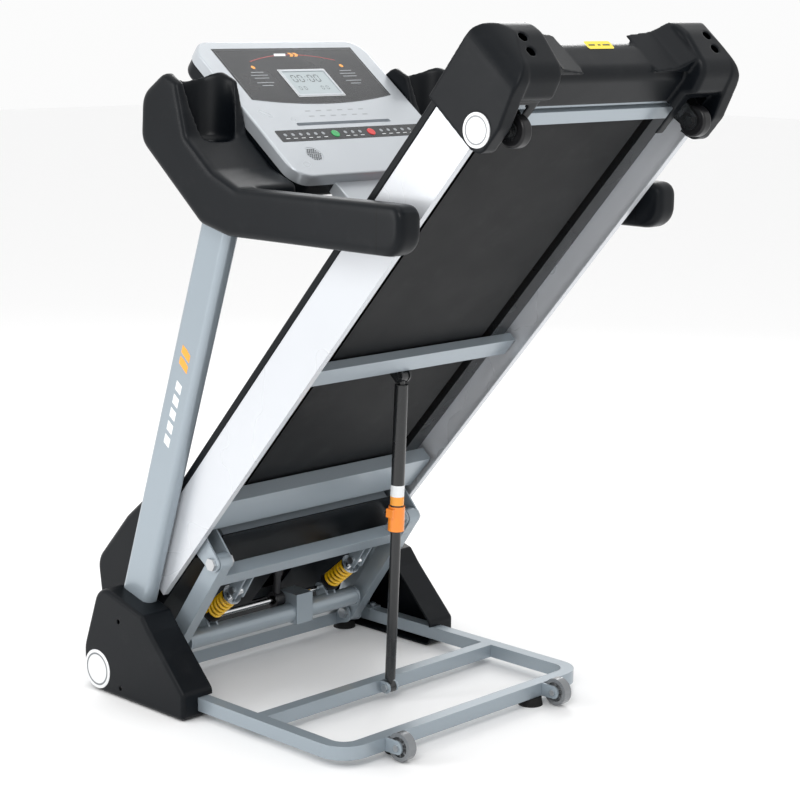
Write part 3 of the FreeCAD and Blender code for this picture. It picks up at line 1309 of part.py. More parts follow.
def strut_length():
    y, z = strut_head_place()
    return math.hypot(y - STRUT_FOOT_Y, z - STRUT_FOOT_Z)


def along_strut(shape):
    """Takes a piece drawn along +Z from the strut's foot and leans it to the strut's head."""
    y, z = strut_head_place()
    copy = shape.copy()
    copy.rotate(vec(0, 0, 0), X_AXIS, math.degrees(math.atan2(STRUT_FOOT_Y - y, z - STRUT_FOOT_Z)))
    copy.translate(vec(0, STRUT_FOOT_Y, STRUT_FOOT_Z))
    return copy


def post(radius, z0, z1):
    return Part.makeCylinder(radius, z1 - z0, vec(0, 0, z0), Z_AXIS)


def strut_eye(height):
    half = STRUT_EYE_WIDTH / 2
    return rod_x(-half, half, 0, height, STRUT_EYE_RADIUS)


def strut_rod():
    """The thin lower half, with the bright eye that turns on the base frame's clevis."""
    top = strut_length() - STRUT_COLLAR_FROM_TOP - STRUT_COLLAR_LENGTH + STRUT_OVERLAP
    rod = fuse([strut_eye(0), post(7, 8, 20), post(STRUT_ROD_RADIUS, 18, top)])
    return along_strut(rod.cut(rod_x(-20, 20, 0, 0, 5.05)))


def strut_tube():
    """The thick upper half, closed at its head and open below for the rod."""
    length = strut_length()
    low = length - STRUT_COLLAR_FROM_TOP - 4
    tube = fuse([strut_eye(length), post(7, length - 20, length - 8),
                 post(STRUT_TUBE_RADIUS, low, length - STRUT_TUBE_START)])
    return along_strut(tube.cut(post(STRUT_ROD_RADIUS + 0.3, low - 1, length - STRUT_TUBE_START - 3)))


def strut_collar():
    """The orange release collar round the lower end of the upper half, with its foot lever."""
    length = strut_length()
    high = length - STRUT_COLLAR_FROM_TOP
    low = high - STRUT_COLLAR_LENGTH
    collar = post(STRUT_COLLAR_RADIUS, low, high)
    lever = box(-STRUT_COLLAR_RADIUS - 5, 0, -9, 9, low + 30, high - 4)
    collar = fuse([collar, lever]).cut(post(STRUT_ROD_RADIUS + 0.05, low - 1, high + 1))
    seat = post(STRUT_TUBE_RADIUS, high - 4, high + 1)
    return along_strut(collar.cut(seat))


def strut_head_clevis():
    """Cheeks in front of the deck's middle cross tube; their bolts stop short of the strut's eye."""
    y, z = -STRUT_HEAD_AT, STRUT_HEAD_UP
    half = STRUT_EYE_WIDTH / 2 + 1
    corners = [(-MID_CROSS_AT, DECK_TUBE_BOTTOM - CROSS_DEPTH + 1, 0), (-MID_CROSS_AT, DECK_TUBE_BOTTOM, 0),
               (y + 13, DECK_TUBE_BOTTOM, 4), (y + 13, z - 13, 12), (y - 13, z - 13, 12)]
    cheek = side_prism(corners, half, half + PLATE)
    head = hex_head(half + PLATE, y, z, 15, 5, 1)
    return folded(both_sides(group([cheek, head])))


# ---- the whole object -------------------------------------------------------------------------
def all_nodes():
    nodes = {
        "base_side_rails": both_sides(base_side_rail()),
        "base_rear_rail": base_rear_rail(),
        "base_cross_tubes": group([base_cross_tube(MID_TUBE_Y), base_cross_tube(FRONT_TUBE_Y)]),
        "base_feet": base_feet(),
        "base_brackets": group([pivot_bracket_plates(), strut_foot_cheeks(), wheel_plates()]),
        "base_bolts": group([lift_pivot_bolts(), strut_foot_bolt(), wheel_bolts()]),
        "cover_discs": cover_discs(),
        "cross_bar": cross_bar(),
        "console_bezel": console_bezel(),
        "console_shell": console_shell(),
        "console_tongue": console_tongue(),
        "console_overlays": group([display_overlay(), key_overlay()]),
        "lcd_screen": lcd_screen(),
        "lcd_frame": lcd_frame(),
        "key_start": console_key(key_places()[0]),
        "key_stop": console_key(key_places()[1]),
        "speaker_grilles": speaker_grilles(),
        "safety_key": safety_key(),
        "deck_skirts": deck_skirts(),
        "foot_trims": foot_trims(),
        "deck_long_tubes": deck_tubes_without_axles(),
        "deck_cross_members": deck_cross_members(),
        "deck_cushions": deck_cushions(),
        "running_board": running_board(),
        "running_belt": running_belt(),
        "front_roller": roller(FRONT_ROLLER_AT, True),
        "rear_roller": roller(REAR_ROLLER_AT, False),
        "roller_axles": group([roller_axles(), tension_bolts()]),
        "rear_cap": rear_cap(),
        "cap_discs": cap_discs(),
        "deck_brackets": group([deck_wheel_plates(), strut_head_clevis()]),
        "motor_hood": motor_hood(),
        "motor_pan": motor_pan(),
        "drive_motor": drive_motor(),
        "motor_rotor": motor_rotor(),
        "drive_belt": drive_belt(),
        "controller": controller(),
        "lift_arms": both_sides(lift_arm()),
        "lift_cross_tube": lift_cross_tube(),
        "deck_pivot_ears": deck_pivot_ears(),
        "lift_bolts": group([deck_pivot_bolts(), shock_bolts()]),
        "torque_tube": torque_tube(),
        "torque_shaft": torque_shaft(),
        "shock_rods": shock_rods(),
        "shock_cans": shock_cans(),
        "shock_springs": shock_springs(),
        "incline_motor": incline_motor(),
        "strut_rod": strut_rod(),
        "strut_tube": strut_tube(),
        "strut_collar": strut_collar(),
    }
    for name, side in SIDES:
        nodes["transport_wheel_" + name] = transport_wheel(side)
        nodes["base_cover_" + name] = base_cover(side)
        nodes["upright_" + name] = upright(side)
        nodes["handle_" + name] = handle(side)
        nodes["deck_wheel_" + name] = deck_wheel(side)
    return nodes


def origin_shift(nodes):
    """The middle of the bounding box on the floor."""
    bounds = Part.makeCompound(list(nodes.values())).optimalBoundingBox(False)
    return vec(-(bounds.XMin + bounds.XMax) / 2, -(bounds.YMin + bounds.YMax) / 2, -bounds.ZMin)


def main():
    nodes = all_nodes()
    shift = origin_shift(nodes)
    os.makedirs("parts", exist_ok=True)
    for name, shape in nodes.items():
        placed = shape.copy()
        placed.translate(shift)
        placed.exportStep(f"parts/{name}.step")
    print(f"{len(nodes)} nodes, shift {shift.x:.3f} {shift.y:.3f} {shift.z:.3f}")


main()
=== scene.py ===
import json
import math
import bpy
from mathutils import Vector, Matrix

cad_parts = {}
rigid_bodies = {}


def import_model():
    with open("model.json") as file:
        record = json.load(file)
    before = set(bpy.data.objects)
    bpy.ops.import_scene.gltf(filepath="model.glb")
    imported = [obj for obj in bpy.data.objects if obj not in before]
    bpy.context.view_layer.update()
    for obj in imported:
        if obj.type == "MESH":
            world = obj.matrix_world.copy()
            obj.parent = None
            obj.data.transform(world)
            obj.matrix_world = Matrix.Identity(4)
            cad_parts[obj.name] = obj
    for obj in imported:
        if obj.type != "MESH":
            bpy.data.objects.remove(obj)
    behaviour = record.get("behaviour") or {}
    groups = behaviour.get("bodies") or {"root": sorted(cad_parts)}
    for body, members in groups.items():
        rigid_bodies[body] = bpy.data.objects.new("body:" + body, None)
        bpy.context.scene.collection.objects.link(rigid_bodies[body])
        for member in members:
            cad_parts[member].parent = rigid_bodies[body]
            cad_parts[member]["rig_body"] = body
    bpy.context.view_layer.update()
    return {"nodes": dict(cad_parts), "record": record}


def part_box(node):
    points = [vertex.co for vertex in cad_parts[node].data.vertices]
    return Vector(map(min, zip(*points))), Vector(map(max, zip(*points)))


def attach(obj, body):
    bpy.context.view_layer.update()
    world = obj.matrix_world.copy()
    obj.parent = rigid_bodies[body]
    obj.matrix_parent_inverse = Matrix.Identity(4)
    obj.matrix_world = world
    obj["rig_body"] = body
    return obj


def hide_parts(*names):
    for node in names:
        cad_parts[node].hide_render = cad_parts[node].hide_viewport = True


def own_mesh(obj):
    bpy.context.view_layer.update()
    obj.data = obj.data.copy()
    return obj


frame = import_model()
NODES = frame["nodes"]
scene = bpy.context.scene
LINK = scene.collection.objects.link
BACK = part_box("base_rear_rail")[0][1]     # the rear face of the base's rear rail


# ---- camera -----------------------------------------------------------------------------------
CAMERA_YAW, CAMERA_PITCH, CAMERA_ROLL = 45.73, -10.98, 0.573
CAMERA_PLACE = (-2.915, BACK - 2.631, 1.435)
CAMERA_LENS = 91.94


def place_camera():
    yaw, pitch, roll = (math.radians(angle) for angle in (CAMERA_YAW, CAMERA_PITCH, CAMERA_ROLL))
    ahead = Vector((math.sin(yaw) * math.cos(pitch), math.cos(yaw) * math.cos(pitch), math.sin(pitch)))
    right = ahead.cross(Vector((0, 0, 1))).normalized()
    up = right.cross(ahead)
    right, up = right * math.cos(roll) + up * math.sin(roll), up * math.cos(roll) - right * math.sin(roll)
    data = bpy.data.cameras.new("camera")
    data.lens = CAMERA_LENS
    data.sensor_width = 36
    data.clip_start = 0.1
    camera = bpy.data.objects.new("camera", data)
    turn = Matrix((right, up, -ahead)).transposed().to_4x4()
    camera.matrix_world = Matrix.Translation(CAMERA_PLACE) @ turn
    LINK(camera)
    scene.camera = camera


place_camera()


# ---- light and floor --------------------------------------------------------------------------
def area(name, place, target, size, power, colour=(1, 1, 1)):
    data = bpy.data.lights.new(name, "AREA")
    data.shape = "RECTANGLE"
    data.size, data.size_y = size
    data.energy = power
    data.color = colour
    light = bpy.data.objects.new(name, data)
    light.location = place
    light.rotation_euler = (Vector(target) - Vector(place)).to_track_quat("-Z", "Y").to_euler()
    LINK(light)


def studio():
    world = bpy.data.worlds.new("studio")
    world.use_nodes = True
    ground = world.node_tree.nodes["Background"]
    ground.inputs[0].default_value = (1, 1, 1, 1)
    ground.inputs[1].default_value = 0.97
    scene.world = world
    scene.view_settings.view_transform = "Standard"
    area("key", (-3.4, -2.2, 3.4), (0, 0, 0.7), (1.6, 1.6), 60)
    area("side", (-3.0, 1.6, 1.6), (0, 0.2, 0.7), (0.7, 2.2), 30)
    area("rim", (2.8, 2.0, 3.0), (0, 0, 0.9), (1.2, 2.2), 35)
    area("top", (0, -0.4, 4.2), (0, -0.2, 0), (2.6, 2.6), 25)
    bpy.ops.mesh.primitive_plane_add(size=40, location=(0, 0, 0))
    floor = bpy.context.object
    floor.name = "floor"
    mat = bpy.data.materials.new("floor")
    mat.use_nodes = True
    shader = mat.node_tree.nodes["Principled BSDF"]
    shader.inputs["Base Color"].default_value = (0.96, 0.96, 0.96, 1)
    shader.inputs["Roughness"].default_value = 0.8
    shader.inputs["Specular IOR Level"].default_value = 0.1
    floor.data.materials.append(mat)


studio()


# ---- materials --------------------------------------------------------------------------------
class Maker:
    """Builds one node material from a base colour, blotches, fine grain and a bump with optionally rounded edges.
    """

    def __init__(self, name):
        self.mat = bpy.data.materials.new(name)
        self.mat.use_nodes = True
        self.tree = self.mat.node_tree
        self.shader = self.tree.nodes["Principled BSDF"]
        self.coord = self.tree.nodes.new("ShaderNodeTexCoord").outputs["Object"]

    def node(self, kind, **inputs):
        made = self.tree.nodes.new(kind)
        for key, value in inputs.items():
            socket = made.inputs[int(key[1:])] if key[0] == "i" and key[1:].isdigit() else made.inputs[key]
            if isinstance(value, bpy.types.NodeSocket):
                self.tree.links.new(value, socket)
            else:
                socket.default_value = value
        return made

    def noise(self, scale, detail=3.0, stretch=(1, 1, 1), rough=0.5):
        place = self.coord
        if stretch != (1, 1, 1):
            place = self.node("ShaderNodeMapping", Vector=place, Scale=stretch).outputs[0]
        made = self.node("ShaderNodeTexNoise", Vector=place, Scale=scale, Detail=detail, Roughness=rough)
        return made.outputs[0]

    def ramp(self, value, low, high, out_low, out_high):
        made = self.node("ShaderNodeMapRange", Value=value)
        for index, number in ((1, low), (2, high), (3, out_low), (4, out_high)):
            made.inputs[index].default_value = number
        return made.outputs[0]

    def blend(self, factor, a, b, mode="MIX"):
        made = self.tree.nodes.new("ShaderNodeMix")
        made.data_type = "RGBA"
        made.blend_type = mode
        for index, value in ((0, factor), (6, a), (7, b)):
            if isinstance(value, bpy.types.NodeSocket):
                self.tree.links.new(value, made.inputs[index])
            else:
                made.inputs[index].default_value = value
        return made.outputs[2]

    def set(self, name, value):
        socket = self.shader.inputs[name]
        if isinstance(value, bpy.types.NodeSocket):
            self.tree.links.new(value, socket)
        else:
            socket.default_value = value

    def bump(self, height, strength, distance, round_edge=0.0):
        made = self.node("ShaderNodeBump", Height=height, Strength=strength, Distance=distance)
        if round_edge:
            bevel = self.node("ShaderNodeBevel", Radius=round_edge)
            bevel.samples = 6
            self.tree.links.new(bevel.outputs[0], made.inputs["Normal"])
        self.set("Normal", made.outputs["Normal"])
        return made


def rgba(colour, gain=1.0):
    return tuple(min(1.0, c * gain) for c in colour) + (1.0,)


def surface(name, colour, rough, metal=0.0, vary=0.08, blotch=3.0, grain=400.0, bump=0.08, depth=0.0002,
            coat=0.0, stretch=(1, 1, 1), specular=0.5, dust=0.0, round_edge=0.0, trim=None):
    """A general surface: two tones in blotches, roughness that follows them, and a fine grain."""
    m = Maker(name)
    wide = m.noise(blotch, 5.0)
    fine = m.noise(grain, 3.0, stretch)
    tone = m.ramp(wide, 0.15, 0.85, 0.0, 1.0)
    base = m.blend(tone, rgba(colour, 1 - vary), rgba(colour, 1 + vary))
    if dust:
        settled = m.ramp(m.noise(14.0, 6.0, rough=0.7), 0.55, 0.8, 0.0, dust)
        base = m.blend(settled, base, (0.30, 0.30, 0.30, 1))
    if trim:
        base = trim(m, base)
    m.set("Base Color", base)
    m.set("Metallic", metal)
    uneven = m.ramp(m.noise(blotch * 4, 2.0), 0.1, 0.9, rough - 0.05, rough + 0.05)
    m.set("Roughness", uneven)
    m.set("Specular IOR Level", specular)
    if coat:
        m.set("Coat Weight", coat)
        m.set("Coat Roughness", 0.08)
    m.bump(fine, bump, depth, round_edge)
    return m.mat


def ring_trim(across, height, inner, outer, colour):
    """A coloured ring about a line along X at the given place, in the object's own metres."""
    def add(m, base):
        flat = m.node("ShaderNodeMapping", Vector=m.coord, Scale=(0, 1, 1)).outputs[0]
        away = m.tree.nodes.new("ShaderNodeVectorMath")
        away.operation = "DISTANCE"
        m.tree.links.new(flat, away.inputs[0])
        away.inputs[1].default_value = (0, across, height)
        into = m.ramp(away.outputs["Value"], inner, inner + 0.0006, 0.0, 1.0)
        past = m.ramp(away.outputs["Value"], outer, outer + 0.0006, 1.0, 0.0)
        both = m.tree.nodes.new("ShaderNodeMath")
        both.operation = "MULTIPLY"
        m.tree.links.new(into, both.inputs[0])
        m.tree.links.new(past, both.inputs[1])
        return m.blend(both.outputs[0], base, rgba(colour))
    return add


def seam_trim(axis, place, width, colour):
    """A thin dark seam where one coordinate crosses the given place."""
    def add(m, base):
        parts = m.node("ShaderNodeSeparateXYZ", Vector=m.coord)
        low = m.ramp(parts.outputs[axis], place - width, place - width / 2, 0.0, 1.0)
        high = m.ramp(parts.outputs[axis], place + width / 2, place + width, 1.0, 0.0)
        both = m.tree.nodes.new("ShaderNodeMath")
        both.operation = "MULTIPLY"
        m.tree.links.new(low, both.inputs[0])
        m.tree.links.new(high, both.inputs[1])
        return m.blend(both.outputs[0], base, rgba(colour))
    return add


MATS = {
    "frame_paint": surface("frame_paint", (0.30, 0.35, 0.39), 0.30, metal=0.3, vary=0.025, blotch=1.5,
                           grain=900, bump=0.05, round_edge=0.0016, coat=0.3),
    "rail_paint": surface("rail_paint", (0.62, 0.64, 0.67), 0.28, metal=0.25, vary=0.02, blotch=1.5,
                          grain=900, bump=0.04, round_edge=0.0012, coat=0.25),
    "black_steel": surface("black_steel", (0.010, 0.011, 0.012), 0.28, vary=0.12,
                           grain=700, bump=0.06, coat=0.2),
    "galvanised": surface("galvanised", (0.34, 0.39, 0.43), 0.34, metal=0.35, vary=0.04, blotch=2.0,
                          grain=800, bump=0.06, round_edge=0.0012, coat=0.2),
    "black_plastic": surface("black_plastic", (0.0035, 0.0048, 0.0066), 0.36, vary=0.15, grain=1500, bump=0.16,
                             depth=0.0003, specular=0.15, dust=0.02, round_edge=0.003),
    "foot_rubber": surface("foot_rubber", (0.008, 0.008, 0.008), 0.7, grain=900, bump=0.2, specular=0.25),
    "disc_silver": surface("disc_silver", (0.74, 0.75, 0.76), 0.24, metal=0.1, vary=0.02, grain=900, bump=0.03,
                           coat=0.4, trim=ring_trim(BACK + 0.705, 0.049, 0.031, 0.035, (0.16, 0.17, 0.18))),
    "handle_plastic": surface("handle_plastic", (0.0035, 0.0048, 0.0066), 0.34, vary=0.15, grain=1500, bump=0.16,
                              depth=0.0003, specular=0.16, dust=0.02,
                              trim=seam_trim(1, BACK - 0.112, 0.0012, (0.001, 0.001, 0.001))),
    "bezel_silver": surface("bezel_silver", (0.47, 0.50, 0.53), 0.30, metal=0.35, vary=0.04, grain=1100, bump=0.30,
                            coat=0.2),
    "overlay_dark": surface("overlay_dark", (0.014, 0.016, 0.019), 0.26, vary=0.06, grain=1500, bump=0.05,
                            coat=0.2, specular=0.35),
    "lcd": surface("lcd", (0.42, 0.48, 0.50), 0.14, vary=0.02, grain=500, bump=0.01, coat=0.5),
    "key_green": surface("key_green", (0.01, 0.34, 0.08), 0.28, grain=900, bump=0.04, coat=0.3),
    "key_red": surface("key_red", (0.62, 0.015, 0.015), 0.28, grain=900, bump=0.04, coat=0.3),
    "wood": surface("wood", (0.20, 0.13, 0.08), 0.6, grain=200, stretch=(1, 12, 12), bump=0.2),
    "belt_rubber": surface("belt_rubber", (0.0045, 0.0050, 0.0058), 0.50, vary=0.10, grain=2200, bump=0.25,
                           depth=0.0003, specular=0.15, dust=0.03),
    "rubber": surface("rubber", (0.009, 0.009, 0.010), 0.60, grain=900, bump=0.2, specular=0.3),
    "steel_bright": surface("steel_bright", (0.72, 0.73, 0.74), 0.14, metal=1.0, vary=0.03,
                            grain=600, bump=0.02),
    "steel_brushed": surface("steel_brushed", (0.55, 0.56, 0.57), 0.30, metal=1.0, vary=0.05, grain=300,
                             stretch=(1, 30, 30), bump=0.06),
    "zinc": surface("zinc", (0.56, 0.57, 0.58), 0.30, metal=1.0, vary=0.08, grain=500, bump=0.05),
    "spring_yellow": surface("spring_yellow", (0.86, 0.50, 0.008), 0.24, vary=0.05,
                             grain=700, bump=0.05, coat=0.5),
    "collar_orange": surface("collar_orange", (0.90, 0.26, 0.02), 0.28, vary=0.04,
                             grain=900, bump=0.05, coat=0.2),
    "wheel_grey": surface("wheel_grey", (0.20, 0.21, 0.22), 0.24, metal=0.4, vary=0.10, grain=600, bump=0.06,
                          coat=0.4),
    "wheel_black": surface("wheel_black", (0.008, 0.008, 0.009), 0.32, grain=900, bump=0.08, specular=0.35),
    "motor_black": surface("motor_black", (0.012, 0.012, 0.014), 0.34, grain=600, bump=0.08),
    "heat_sink": surface("heat_sink", (0.55, 0.56, 0.57), 0.36, metal=1.0, grain=300, stretch=(1, 20, 20),
                         bump=0.06),
}

SLOT_OF = {entry["node"]: entry["material_slot"] for entry in frame["record"]["subparts"]}
for name, node in NODES.items():
    node.data.materials.clear()
    node.data.materials.append(MATS[SLOT_OF[name]])


# ---- places on the console, the deck and the uprights -----------------------------------------
CONSOLE_TOP = (BACK + 0.582, 1.356)
CONSOLE_TILT = math.radians(37.6)
DECK_ZERO = (BACK + 0.5393, 0.2729)
DECK_ANGLE = math.radians(49.1)
UPRIGHT_FOOT = (BACK + 0.690, 0.05)
UPRIGHT_LEAN = math.radians(18.5)


def on_console(x, down, lift):
    """A point x across, down the console's face from its top edge and lifted off it, in millimetres."""
    c, s = math.cos(CONSOLE_TILT), math.sin(CONSOLE_TILT)
    y = CONSOLE_TOP[0] + (-down * c - lift * s) / 1000
    z = CONSOLE_TOP[1] + (-down * s + lift * c) / 1000
    return Vector((x / 1000, y, z))


def on_deck(x, along, up):
    """A point x across, along the deck from its front and up off it, in millimetres."""
    c, s = math.cos(DECK_ANGLE), math.sin(DECK_ANGLE)
    y = DECK_ZERO[0] + (-along * c + up * s) / 1000
    z = DECK_ZERO[1] + (along * s + up * c) / 1000
    return Vector((x / 1000, y, z))


def on_upright(x, forward, up):
    """A point beside an upright: forward of its axis and up along it."""
    c, s = math.cos(UPRIGHT_LEAN), math.sin(UPRIGHT_LEAN)
    y = UPRIGHT_FOOT[0] + (forward * c - up * s) / 1000
    z = UPRIGHT_FOOT[1] + (forward * s + up * c) / 1000
    return Vector((x / 1000, y, z))


# ---- helpers for pieces -----------------------------------------------------------------------
def mesh_piece(name, points, faces, slot, body):
    mesh = bpy.data.meshes.new(name)
    mesh.from_pydata([tuple(p) for p in points], [], faces)
    mesh.update()
    piece = bpy.data.objects.new(name, mesh)
    LINK(piece)
    mesh.materials.append(MATS[slot])
    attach(piece, body)
    return piece


def printed(name, shapes, place, slot, body):
    """Flat printed marks: each shape is a closed outline, laid out by place."""
    points, faces = [], []
    for shape in shapes:
        first = len(points)
        points += [place(a, b) for a, b in shape]
        faces.append(tuple(range(first, first + len(shape))))
    piece = mesh_piece(name, points, faces, slot, body)
    return piece


def rounded_box(cx, cy, w, h, r, steps=5):
    r = min(r, w / 2, h / 2)
    out = []
    for qx, qy, start in ((1, 1, 0), (-1, 1, 90), (-1, -1, 180), (1, -1, 270)):
        for i in range(steps + 1):
            angle = math.radians(start + 90 * i / steps)
            out.append((cx + qx * (w / 2 - r) + r * math.cos(angle),
                        cy + qy * (h / 2 - r) + r * math.sin(angle)))
    return out


def circle(cx, cy, r, steps=28):
    turns = [2 * math.pi * i / steps for i in range(steps)]
    return [(cx + r * math.cos(turn), cy + r * math.sin(turn)) for turn in turns]


def ribbon(path, width):
    """Quads along a path of points, as separate outlines."""
    out = []
    for (x0, y0), (x1, y1) in zip(path, path[1:]):
        length = math.hypot(x1 - x0, y1 - y0)
        nx, ny = -(y1 - y0) / length * width / 2, (x1 - x0) / length * width / 2
        out.append([(x0 + nx, y0 + ny), (x1 + nx, y1 + ny), (x1 - nx, y1 - ny), (x0 - nx, y0 - ny)])
    return out


def moulded(node, voxel, passes, slot=None):
    """A softer copy of a CAD moulding: re-meshed, with its edges eased, standing for the CAD node."""
    source = NODES[node]
    piece = source.copy()
    piece.data = source.data.copy()
    piece.name = node + "_moulded"
    piece.parent = None
    for key in list(piece.keys()):
        del piece[key]
    LINK(piece)
    low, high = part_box(node)
    remesh = piece.modifiers.new("remesh", "REMESH")
    remesh.mode = "VOXEL"
    remesh.voxel_size = voxel
    ease = piece.modifiers.new("ease", "SMOOTH")
    ease.factor = 0.5
    ease.iterations = passes
    bpy.context.view_layer.update()
    made = bpy.data.meshes.new_from_object(piece.evaluated_get(bpy.context.evaluated_depsgraph_get()))
    piece.modifiers.clear()
    piece.data = made
    for vertex in made.vertices:
        vertex.co = Vector([min(max(c, lo), hi) for c, lo, hi in zip(vertex.co, low, high)])
    made.shade_smooth()
    made.materials.clear()
    made.materials.append(MATS[slot or SLOT_OF[node]])
    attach(piece, source["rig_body"])
    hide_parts(node)
    return piece


MATS["print_white"] = surface("print_white", (0.80, 0.82, 0.83), 0.35, vary=0.02, grain=900, bump=0.02)
MATS["print_orange"] = surface("print_orange", (0.90, 0.36, 0.04), 0.35, vary=0.02, grain=900, bump=0.02)
MATS["print_grey"] = surface("print_grey", (0.30, 0.32, 0.34), 0.35, vary=0.02, grain=900, bump=0.02)
MATS["print_red"] = surface("print_red", (0.30, 0.03, 0.03), 0.35, vary=0.02, grain=900, bump=0.02)
MATS["print_yellow"] = surface("print_yellow", (0.85, 0.68, 0.05), 0.35, vary=0.02, grain=900, bump=0.02)
MATS["print_dark"] = surface("print_dark", (0.05, 0.055, 0.06), 0.35, vary=0.02, grain=900, bump=0.02)


# ---- console graphics -------------------------------------------------------------------------
def console_face(lift):
    return lambda x, down: on_console(x, down, lift)


KEY_ROW_START, KEY_PITCH, KEY_COUNT = -185, 20.5, 19
MAIN_KEY_X, MAIN_KEY_ROOM = 50.5, 14
SPEAKER_X, SPEAKER_DOWN, SPEAKER_RADIUS = 151, 349, 18.5
DOT_PITCH_X, DOT_PITCH_DOWN = 5.4, 4.7


def touch_places():
    """Where the small touch fields stand, leaving room for the two round keys."""
    places = [KEY_ROW_START + KEY_PITCH * i for i in range(KEY_COUNT)]
    return [x for x in places if abs(abs(x) - MAIN_KEY_X) > MAIN_KEY_ROOM]


def console_prints():
    half, top, side, bow = 190, 30, 152, 19
    low = [(half - 2 * half * i / 24, top + side + bow * (1 - (1 - i / 12) ** 2)) for i in range(25)]
    border = ribbon([(-half, top + side), (-half, top), (half, top), (half, top + side)], 1.4)
    border += ribbon(low, 1.4)
    printed("console_border", border, console_face(0.45), "print_dark", "base")
    arc = [(-120 + 10 * i, 66 - 20 * (1 - ((i - 12) / 12) ** 2)) for i in range(25)]
    printed("console_arc", ribbon(arc, 2.4), console_face(0.45), "print_red", "base")
    mark = [[(-38, 42), (-6, 42), (-10, 50), (-42, 50)]]
    printed("console_mark", mark, console_face(0.5), "print_white", "base")
    chevrons = [[(s, 40), (9 + s, 40), (15 + s, 46), (9 + s, 52), (s, 52), (6 + s, 46)] for s in (0, 13)]
    printed("console_chevrons", chevrons, console_face(0.5), "print_orange", "base")
    lines = []
    for side_x in (-1, 1):
        for row, width in ((100, 34), (109, 46), (118, 40), (132, 46), (141, 30)):
            lines.append(rounded_box(side_x * 124, row, width, 2.2, 1))
    printed("console_lines", lines, console_face(0.5), "print_grey", "base")
    dots = [circle(side_x * 124, 84, 5) for side_x in (-1, 1)]
    printed("console_dots", dots, console_face(0.5), "print_orange", "base")
    quick = [rounded_box(-75 + 30 * i, row, 15, 3.0, 1.4) for i in range(6) for row in (222, 238)]
    printed("console_quick", quick, console_face(0.2), "print_grey", "base")
    rings = [circle(x, 290, 4.2) for x in touch_places()]
    printed("console_touch", rings, console_face(0.5), "print_grey", "base")
    names = [rounded_box(x, 301, 11, 1.6, 0.8) for x in touch_places()]
    printed("console_touch_lines", names, console_face(0.5), "print_white", "base")
    around = ribbon([(-65, 94), (65, 94), (65, 178), (-65, 178), (-65, 94)], 2.0)
    printed("lcd_outline", around, console_face(0.6), "print_white", "base")
    for side_x in (-1, 1):
        spots = [(DOT_PITCH_X * i + DOT_PITCH_X / 2 * (j % 2), DOT_PITCH_DOWN * j)
                 for i in range(-4, 5) for j in range(-4, 5)]
        dots = [circle(side_x * SPEAKER_X + a, SPEAKER_DOWN + b, 1.75, 12)
                for a, b in spots if math.hypot(a, b) < SPEAKER_RADIUS]
        printed("speaker_dots_%d" % (side_x + 1), dots, console_face(0.5), "print_dark", "base")
    digits = []
    for x in (-38, -20, 8, 26):
        digits += seven_segments(x, 122, 11, 20, 2.2)
    digits += [rounded_box(-5, 117, 2.4, 2.4, 1), rounded_box(-5, 127, 2.4, 2.4, 1)]
    for x in (-42, -28, 20, 34):
        digits += seven_segments(x, 152, 6, 10, 1.2)
    printed("lcd_digits", digits, console_face(0.4), "print_dark", "base")


def seven_segments(cx, cy, w, h, t):
    """A zero in seven-segment form."""
    shapes = [rounded_box(cx, cy - h / 2, w - t, t, t / 2), rounded_box(cx, cy + h / 2, w - t, t, t / 2)]
    for side_x in (-1, 1):
        for side_y in (-1, 1):
            shapes.append(rounded_box(cx + side_x * w / 2, cy + side_y * h / 4, t, h / 2 - t, t / 2))
    return shapes


console_prints()


# ---- marks on the frame -----------------------------------------------------------------------
UPRIGHT_SIDE_X = 357.15


def frame_prints():
    """Plain bars and chevrons on the uprights' outer sides."""
    for side in (-1, 1):
        face = lambda forward, up: on_upright(side * UPRIGHT_SIDE_X, forward, up)
        bars = [[(-9, up), (9, up + 6), (9, up + 26), (-9, up + 20)] for up in range(530, 680, 30)]
        printed("upright_bars_%d" % (side + 1), bars, face, "print_white", "base")
        chevron = [[(-14, up), (14, up + 12), (14, up + 28), (0, up + 24), (-14, up + 16)] for up in (700, 724)]
        printed("upright_chevrons_%d" % (side + 1), chevron, face, "print_orange", "base")


frame_prints()

# ---- labels, and the mouldings with eased edges -----------------------------------------------
STRUT_FOOT, STRUT_HEAD = (0.232, 0.031), (538, 25)
STRUT_LABEL_RADIUS = 0.01425
CAP_FACE_AT = 1362
CAP_DISC = (1255, 5)


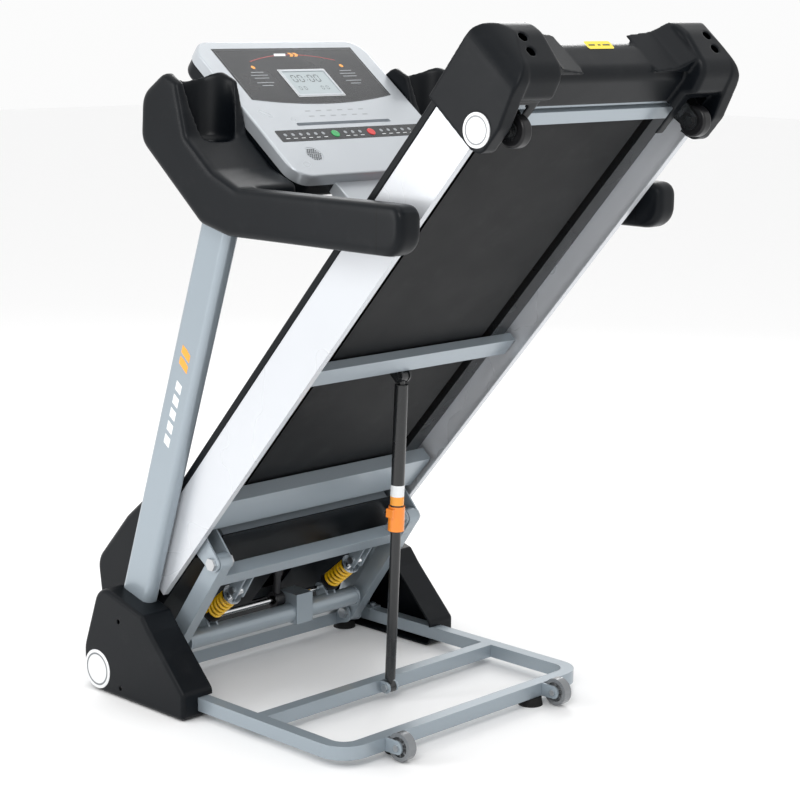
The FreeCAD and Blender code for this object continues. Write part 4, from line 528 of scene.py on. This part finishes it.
def strut_label():
    """Printed bands round the strut's tube, above its collar."""
    low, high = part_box("strut_tube")
    centre = (low[0] + high[0]) / 2
    foot, head = Vector((centre, BACK + STRUT_FOOT[0], STRUT_FOOT[1])), on_deck(0, *STRUT_HEAD)
    head.x = centre
    along = (foot - head).normalized()
    side = Vector((1, 0, 0))
    front = along.cross(side)
    for name, start, stop, slot, record_slot in (
            ("strut_label_white", 0.228, 0.252, "print_white", "bezel_silver"),
            ("strut_label_orange", 0.252, 0.270, "print_orange", "collar_orange")):
        points = []
        for place in (start, stop):
            for i in range(33):
                angle = 2 * math.pi * i / 32
                outward = side * math.cos(angle) + front * math.sin(angle)
                points.append(head + along * place + outward * STRUT_LABEL_RADIUS)
        faces = [(i, i + 1, i + 34, i + 33) for i in range(32)]
        piece = mesh_piece(name, points, faces, slot, "strut_upper")
        piece.data.shade_smooth()


def cap_label():
    """A plain yellow plate on the cap's end face, with dark bars and no words."""
    face = lambda lift: lambda x, up: on_deck(x, CAP_FACE_AT + lift, up)
    printed("cap_plate", [rounded_box(0, 96, 74, 20, 5)], face(0.4), "print_yellow", "deck")
    bars = [rounded_box(x, 96, w, 3, 1.2) for x, w in ((-21, 18), (0, 8), (20, 20))]
    printed("cap_plate_bars", bars, face(0.9), "print_dark", "deck")


cap_disc = on_deck(0, *CAP_DISC)
MATS["cap_disc"] = surface("cap_disc", (0.74, 0.75, 0.76), 0.24, metal=0.1, vary=0.02,
                           grain=900, bump=0.03, coat=0.4,
                           trim=ring_trim(cap_disc.y, cap_disc.z, 0.022, 0.0255, (0.16, 0.17, 0.18)))
NODES["cap_discs"].data.materials[0] = MATS["cap_disc"]
strut_label()
cap_label()
for moulding, voxel, passes, finish in (("handle_left", 0.0035, 16, "handle_plastic"),
                                        ("handle_right", 0.0035, 16, "handle_plastic"),
                                        ("rear_cap", 0.0022, 9, "black_plastic")):
    moulded(moulding, voxel, passes, finish)


def coil_springs():
    """The shock springs, copied in spring yellow and carried rigidly by the body of the CAD springs."""
    source = NODES["shock_springs"]
    piece = bpy.data.objects.new("coil_springs", source.data.copy())
    LINK(piece)
    piece.matrix_world = source.matrix_world.copy()
    piece.data.materials.clear()
    piece.data.materials.append(MATS["spring_yellow"])
    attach(piece, source["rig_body"])
    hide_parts("shock_springs")
    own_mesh(piece)


coil_springs()
